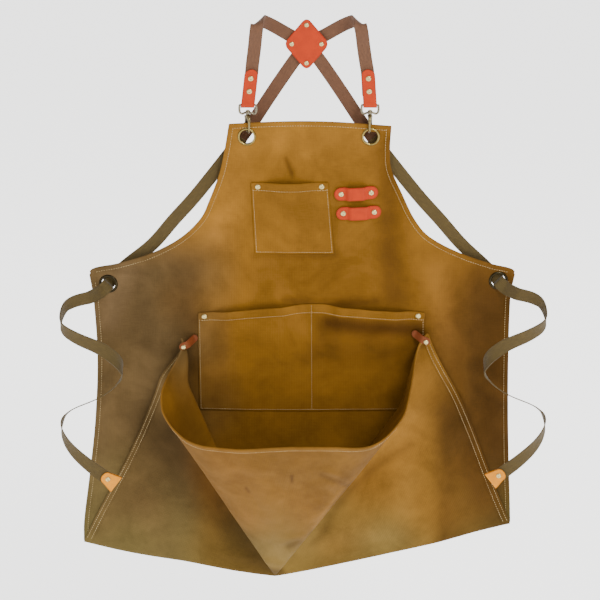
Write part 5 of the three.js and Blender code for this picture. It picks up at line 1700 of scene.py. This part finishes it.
patchPiece = crossPatch()
finishPiece(patchPiece, materials["red"], nodes=["cross_patch"])
patchFace = shoulder["crossingY"] - web["thickness"] / 2 - 1.1 - 0.9 - 1.1
for place, x, z in (("top", 0, 1), ("right", 1, 0), ("bottom", 0, -1), ("left", -1, 0)):
    capX = patch["x"] + x * patch["wide"] * patch["rivetWide"]
    capZ = patch["z"] + z * patch["tall"] * patch["rivetTall"]
    spot = (capX, patchFace, capZ)
    setRivet(f"cross_patch_rivet_{place}", spot, Vector((0, -1, 0)), 0.85)

# Waist webbing: behind the bib, through the waist eyelet, then a loose curl
tail = {"fall": 314.0, "offset": 24.0, "sway": 49.0, "depth": 20.0, "middleY": -41.0, "drift": 2.5, "grip": 19.0}
tailRows = [
    (-0.5, 0.035), (-0.2, 0.073), (0, 0.146), (0.37, 0.217), (0.63, 0.277),
    (1, 0.417), (1.31, 0.545), (1.5, 0.605),
    (1.8, 0.66), (2, 0.715), (2.33, 0.85),
    (2.6, 0.962), (2.8, 1.03),
]


def tailPlace(sign, eyelet, turn):
    angle = math.pi * turn
    middleX = eyelet[1] + sign * (tail["offset"] + tail["drift"] * turn)
    return Vector((
        middleX + sign * tail["sway"] * math.cos(angle),
        tail["middleY"] - tail["depth"] * math.sin(angle),
        eyelet[2] - tail["fall"] * smoothRow(tailRows, turn, 1),
    ))


def tailStation(sign, eyelet, turn):
    along = tailPlace(sign, eyelet, turn + 0.01) - tailPlace(sign, eyelet, turn - 0.01)
    outward = Vector((sign * math.cos(math.pi * turn), -math.sin(math.pi * turn), 0))
    across = (along.cross(outward) * sign).normalized()
    edgeOn = smoothStep((turn - 0.9) / 0.3) * smoothStep((2.1 - turn) / 0.3)
    if turn > 1.5:
        across.negate()
    return tailPlace(sign, eyelet, turn), across.lerp(Vector((0, 0.94, -0.34)), edgeOn).normalized()


def waistStations(sign, eyelet, layer):
    tilt = (0.69, 0.72)
    wide = (sign * tilt[0], 0, tilt[1])
    share = eyelet[1] / sheet["halfWidth"]
    holeY = sheet["frontY"] + sheet["wrap"] * share * share
    behindY, aheadY = holeY + 1.6 + 1.0 + 1.0 + 4.5, holeY - 1.5 - 4.5
    reach, bend = abs(eyelet[1]), 3.6
    sewn = shoulder["sewnY"] - shoulder["layer"] - 0.3 + layer * shoulder["layer"]
    rows = [
        (103, sewn, -184), (118, sewn, -204), (178, 9.2, -281), (211, 11.4, -319), (246, 14.6, -361),
        (reach - 26, behindY + 0.6, eyelet[2] + 26),
    ]
    table = [((sign * x, y, z), (sign * 0.8, 0, 0.6)) for x, y, z in rows]
    for along, y in (
        (-2.4, behindY), (-1, behindY - 1), (-0.1, behindY - 3.4), (0, holeY + 0.6), (0.1, aheadY + 3.4),
        (1, aheadY + 0.8), (2.2, aheadY),
    ):
        table.append(((sign * (reach + along * bend * tilt[1]), y, eyelet[2] - along * bend * tilt[0]), wide))
    hidden = runThrough(table, 8)
    curl = [tailStation(sign, eyelet, turn) for turn in evenly(150, -0.42, 2.6)]
    heading = (curl[-1][0] - curl[-2][0]).normalized()
    ends = [(curl[-1][0] + heading * (tail["grip"] + 3) * s, curl[-1][1]) for s in evenly(8)[1:]]
    # the run into the curl is filled in smoothly
    first, second = hidden[-1], curl[0]
    leaving = (first[0] - hidden[-2][0]).normalized() * 6
    arriving = (curl[1][0] - second[0]).normalized() * 6
    bridge = [first[0], first[0] + leaving, second[0] - arriving, second[0]]
    filled = []
    for s in evenly(10)[1:-1]:
        spot = curvePoint(bridge, s)
        filled.append((spot, (first[1] * (1 - s) + second[1] * s).normalized()))
    return hidden + filled + curl + ends


# Strap tips: leather folded over the webbing's end
tip = {"length": 29.0, "endHalf": 15.0, "neckHalf": 9.6, "rivetAt": 11.0, "layer": 1.8}
tipThickness = 2 * tip["layer"] + web["thickness"] + 0.6
tipHalfRows = [
    (0.0, 0.05), (0.8, 4.4), (2.2, 7.0), (4.5, 9.0),
    (8.0, 9.9), (14.0, 11.2), (20.0, 12.9), (29.0, 15.0),
]


def tipPiece(side, frameMatrix):
    half = tipThickness / 2 - tip["layer"] / 2
    flatEnd = tip["length"] - half - tip["layer"] / 2
    line = [(flatEnd * s, -half) for s in evenly(34)]
    line += [(flatEnd + half * math.sin(math.pi * s), -half * math.cos(math.pi * s)) for s in evenly(10)[1:-1]]
    line += [(flatEnd * (1 - s), half) for s in evenly(34)]

    def place(u, v):
        along, high = line[round(u * (len(line) - 1))]
        wide = smoothRow(tipHalfRows, along, 1)
        return Vector((along, wide * (2 * v - 1), high))

    leather = gridPiece(f"strapTip{side.title()}", evenly(len(line) - 1), evenly(12), place)
    solid = leather.modifiers.new("thickness", "SOLIDIFY")
    solid.thickness = tip["layer"] * mm
    solid.offset = 0
    solid.use_even_offset = False
    edge = leather.modifiers.new("softEdge", "BEVEL")
    edge.width = 0.45 * mm
    edge.segments = 3
    edge.limit_method = "ANGLE"
    edge.angle_limit = math.radians(50)
    applyModifiers(leather)
    shadeSmooth(leather, 35)
    paintRim(leather, lambda co: smoothStep((abs(co.y) - smoothRow(tipHalfRows, co.x, 1) + 1.8) / 1.5))
    leather.data.transform(frameMatrix)
    return leather


# Pouch tabs: leather that holds the pouch's corners up
pouchTab = {"width": 12.0, "length": 25.0, "rise": 10.0, "beyond": 3.6}

for sign, eyelet, layer in ((-1, eyelets[2], 1), (1, eyelets[3], 0)):
    side = "left" if sign < 0 else "right"
    stations = waistStations(sign, eyelet, layer)
    ribbon, length = ribbonPiece(f"waistWebbing{side.title()}", stations, web["width"], web["thickness"])
    finishPiece(ribbon, materials["oliveWeb"], nodes=[f"waist_strap_{side}"])
    print("waist webbing", side, round(length), "mm")
    end, along = stations[-1][0], (stations[-1][0] - stations[-2][0]).normalized()
    across = (stations[-1][1] - along * stations[-1][1].dot(along)).normalized()
    normal = along.cross(across)
    facing = 1 if normal.y < 0 else -1
    start = end - along * tail["grip"]
    basis = Matrix((along, across, normal)).transposed().to_4x4()
    basis.translation = start * mm
    leather = tipPiece(side, basis)
    finishPiece(leather, materials["gold"], nodes=[f"strap_tip_{side}"])
    spot = start + along * tip["rivetAt"] + normal * facing * (tipThickness / 2)
    setRivet(f"strap_tip_{side}_rivet", spot, normal * facing, 0.95)

    low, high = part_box(f"pouch_tab_{side}")
    overY = low.y / mm + 1.1
    seat = high.y / mm - 1.1
    studX = (low.x if sign < 0 else high.x) / mm - sign * pouchTab["beyond"]
    inwardX = -sign * math.sqrt(pouchTab["length"] ** 2 - pouchTab["rise"] ** 2)
    studZ = low.z / mm + 6.2

    def tabStation(u, sign=sign, studX=studX, inwardX=inwardX, studZ=studZ, overY=overY, seat=seat):
        share = -0.2 + 1.25 * u
        x = studX + inwardX * share
        z = studZ + 1.5 + pouchTab["rise"] * share
        y = overY + (seat - overY) * smoothStep((share - 0.3) / 0.6)
        radius = pouchTab["width"] / 2
        reach = min(1.0, min(u, 1 - u) * 1.25 * pouchTab["length"] / radius)
        halfWidth = radius * math.sqrt(max(0.01, 1 - (1 - reach) ** 2))
        return (x, y, z), Vector((0.3 * sign, 0, 1)).normalized(), halfWidth

    strap = leatherStrap(f"pouchTab{side.title()}", 40, tabStation, 2.2, 8)
    paintRim(strap, lambda co: 0.0)
    finishPiece(strap, materials["tab"], nodes=[f"pouch_tab_{side}"])
    studLow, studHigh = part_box(f"pouch_stud_{side}")
    studMiddle = (studLow + studHigh) / 2 / mm
    setRivet(f"pouch_stud_{side}", (studMiddle.x, overY - 1.1, studMiddle.z), Vector((0, -1, 0)), 0.9)
bpy.data.objects.remove(capModel)
print("straps, tips and tabs done")

# Floor, light and camera
studio = {"floorZ": -1.3, "floorSize": 40.0, "aim": (-0.0112, 0.0, -0.451), "distance": 3.607, "elevation": 20.0}
deselect()
bpy.ops.mesh.primitive_plane_add(size=studio["floorSize"], location=(0, 0, studio["floorZ"]))
floor = bpy.context.object
floor.name = "studioFloor"
floorMaterial, _, floorShader, _ = blankMaterial("paleFloor")
floorShader.inputs["Base Color"].default_value = (0.93, 0.93, 0.92, 1)
floorShader.inputs["Roughness"].default_value = 0.9
floorShader.inputs["Emission Color"].default_value = (1.0, 1.0, 1.0, 1)
floorShader.inputs["Emission Strength"].default_value = 1.9
floor.data.materials.append(floorMaterial)

world = bpy.data.worlds.new("softStudio")
world.use_nodes = True
world.node_tree.nodes["Background"].inputs[0].default_value = (1.0, 0.99, 0.97, 1)
world.node_tree.nodes["Background"].inputs[1].default_value = 0.85
bpy.context.scene.world = world


def softLight(name, place, aim, size, power):
    deselect()
    bpy.ops.object.light_add(type="AREA", location=place)
    lamp = bpy.context.object
    lamp.name = name
    lamp.data.shape = "DISK"
    lamp.data.size = size
    lamp.data.energy = power
    lamp.rotation_euler = (Vector(aim) - Vector(place)).to_track_quat("-Z", "Y").to_euler()
    return lamp


softLight("keyLight", (1.3, -2.4, 1.6), (0, 0, -0.5), 1.2, 95)
softLight("fillLight", (-2.2, -2.2, 0.2), (0, 0, -0.5), 1.8, 16)
softLight("backLight", (0.4, 2.4, 1.4), (0, 0, -0.4), 1.6, 30)

elevation = math.radians(studio["elevation"])
aim = Vector(studio["aim"])
place = aim + Vector((0, -math.cos(elevation), math.sin(elevation))) * studio["distance"]
camera = bpy.data.cameras.new("photoCamera")
camera.lens = 135.0
camera.sensor_width = 36.0
cameraObject = bpy.data.objects.new("photoCamera", camera)
cameraObject.location = place
cameraObject.rotation_euler = (aim - place).to_track_quat("-Z", "Y").to_euler()
bpy.context.scene.collection.objects.link(cameraObject)
bpy.context.scene.camera = cameraObject
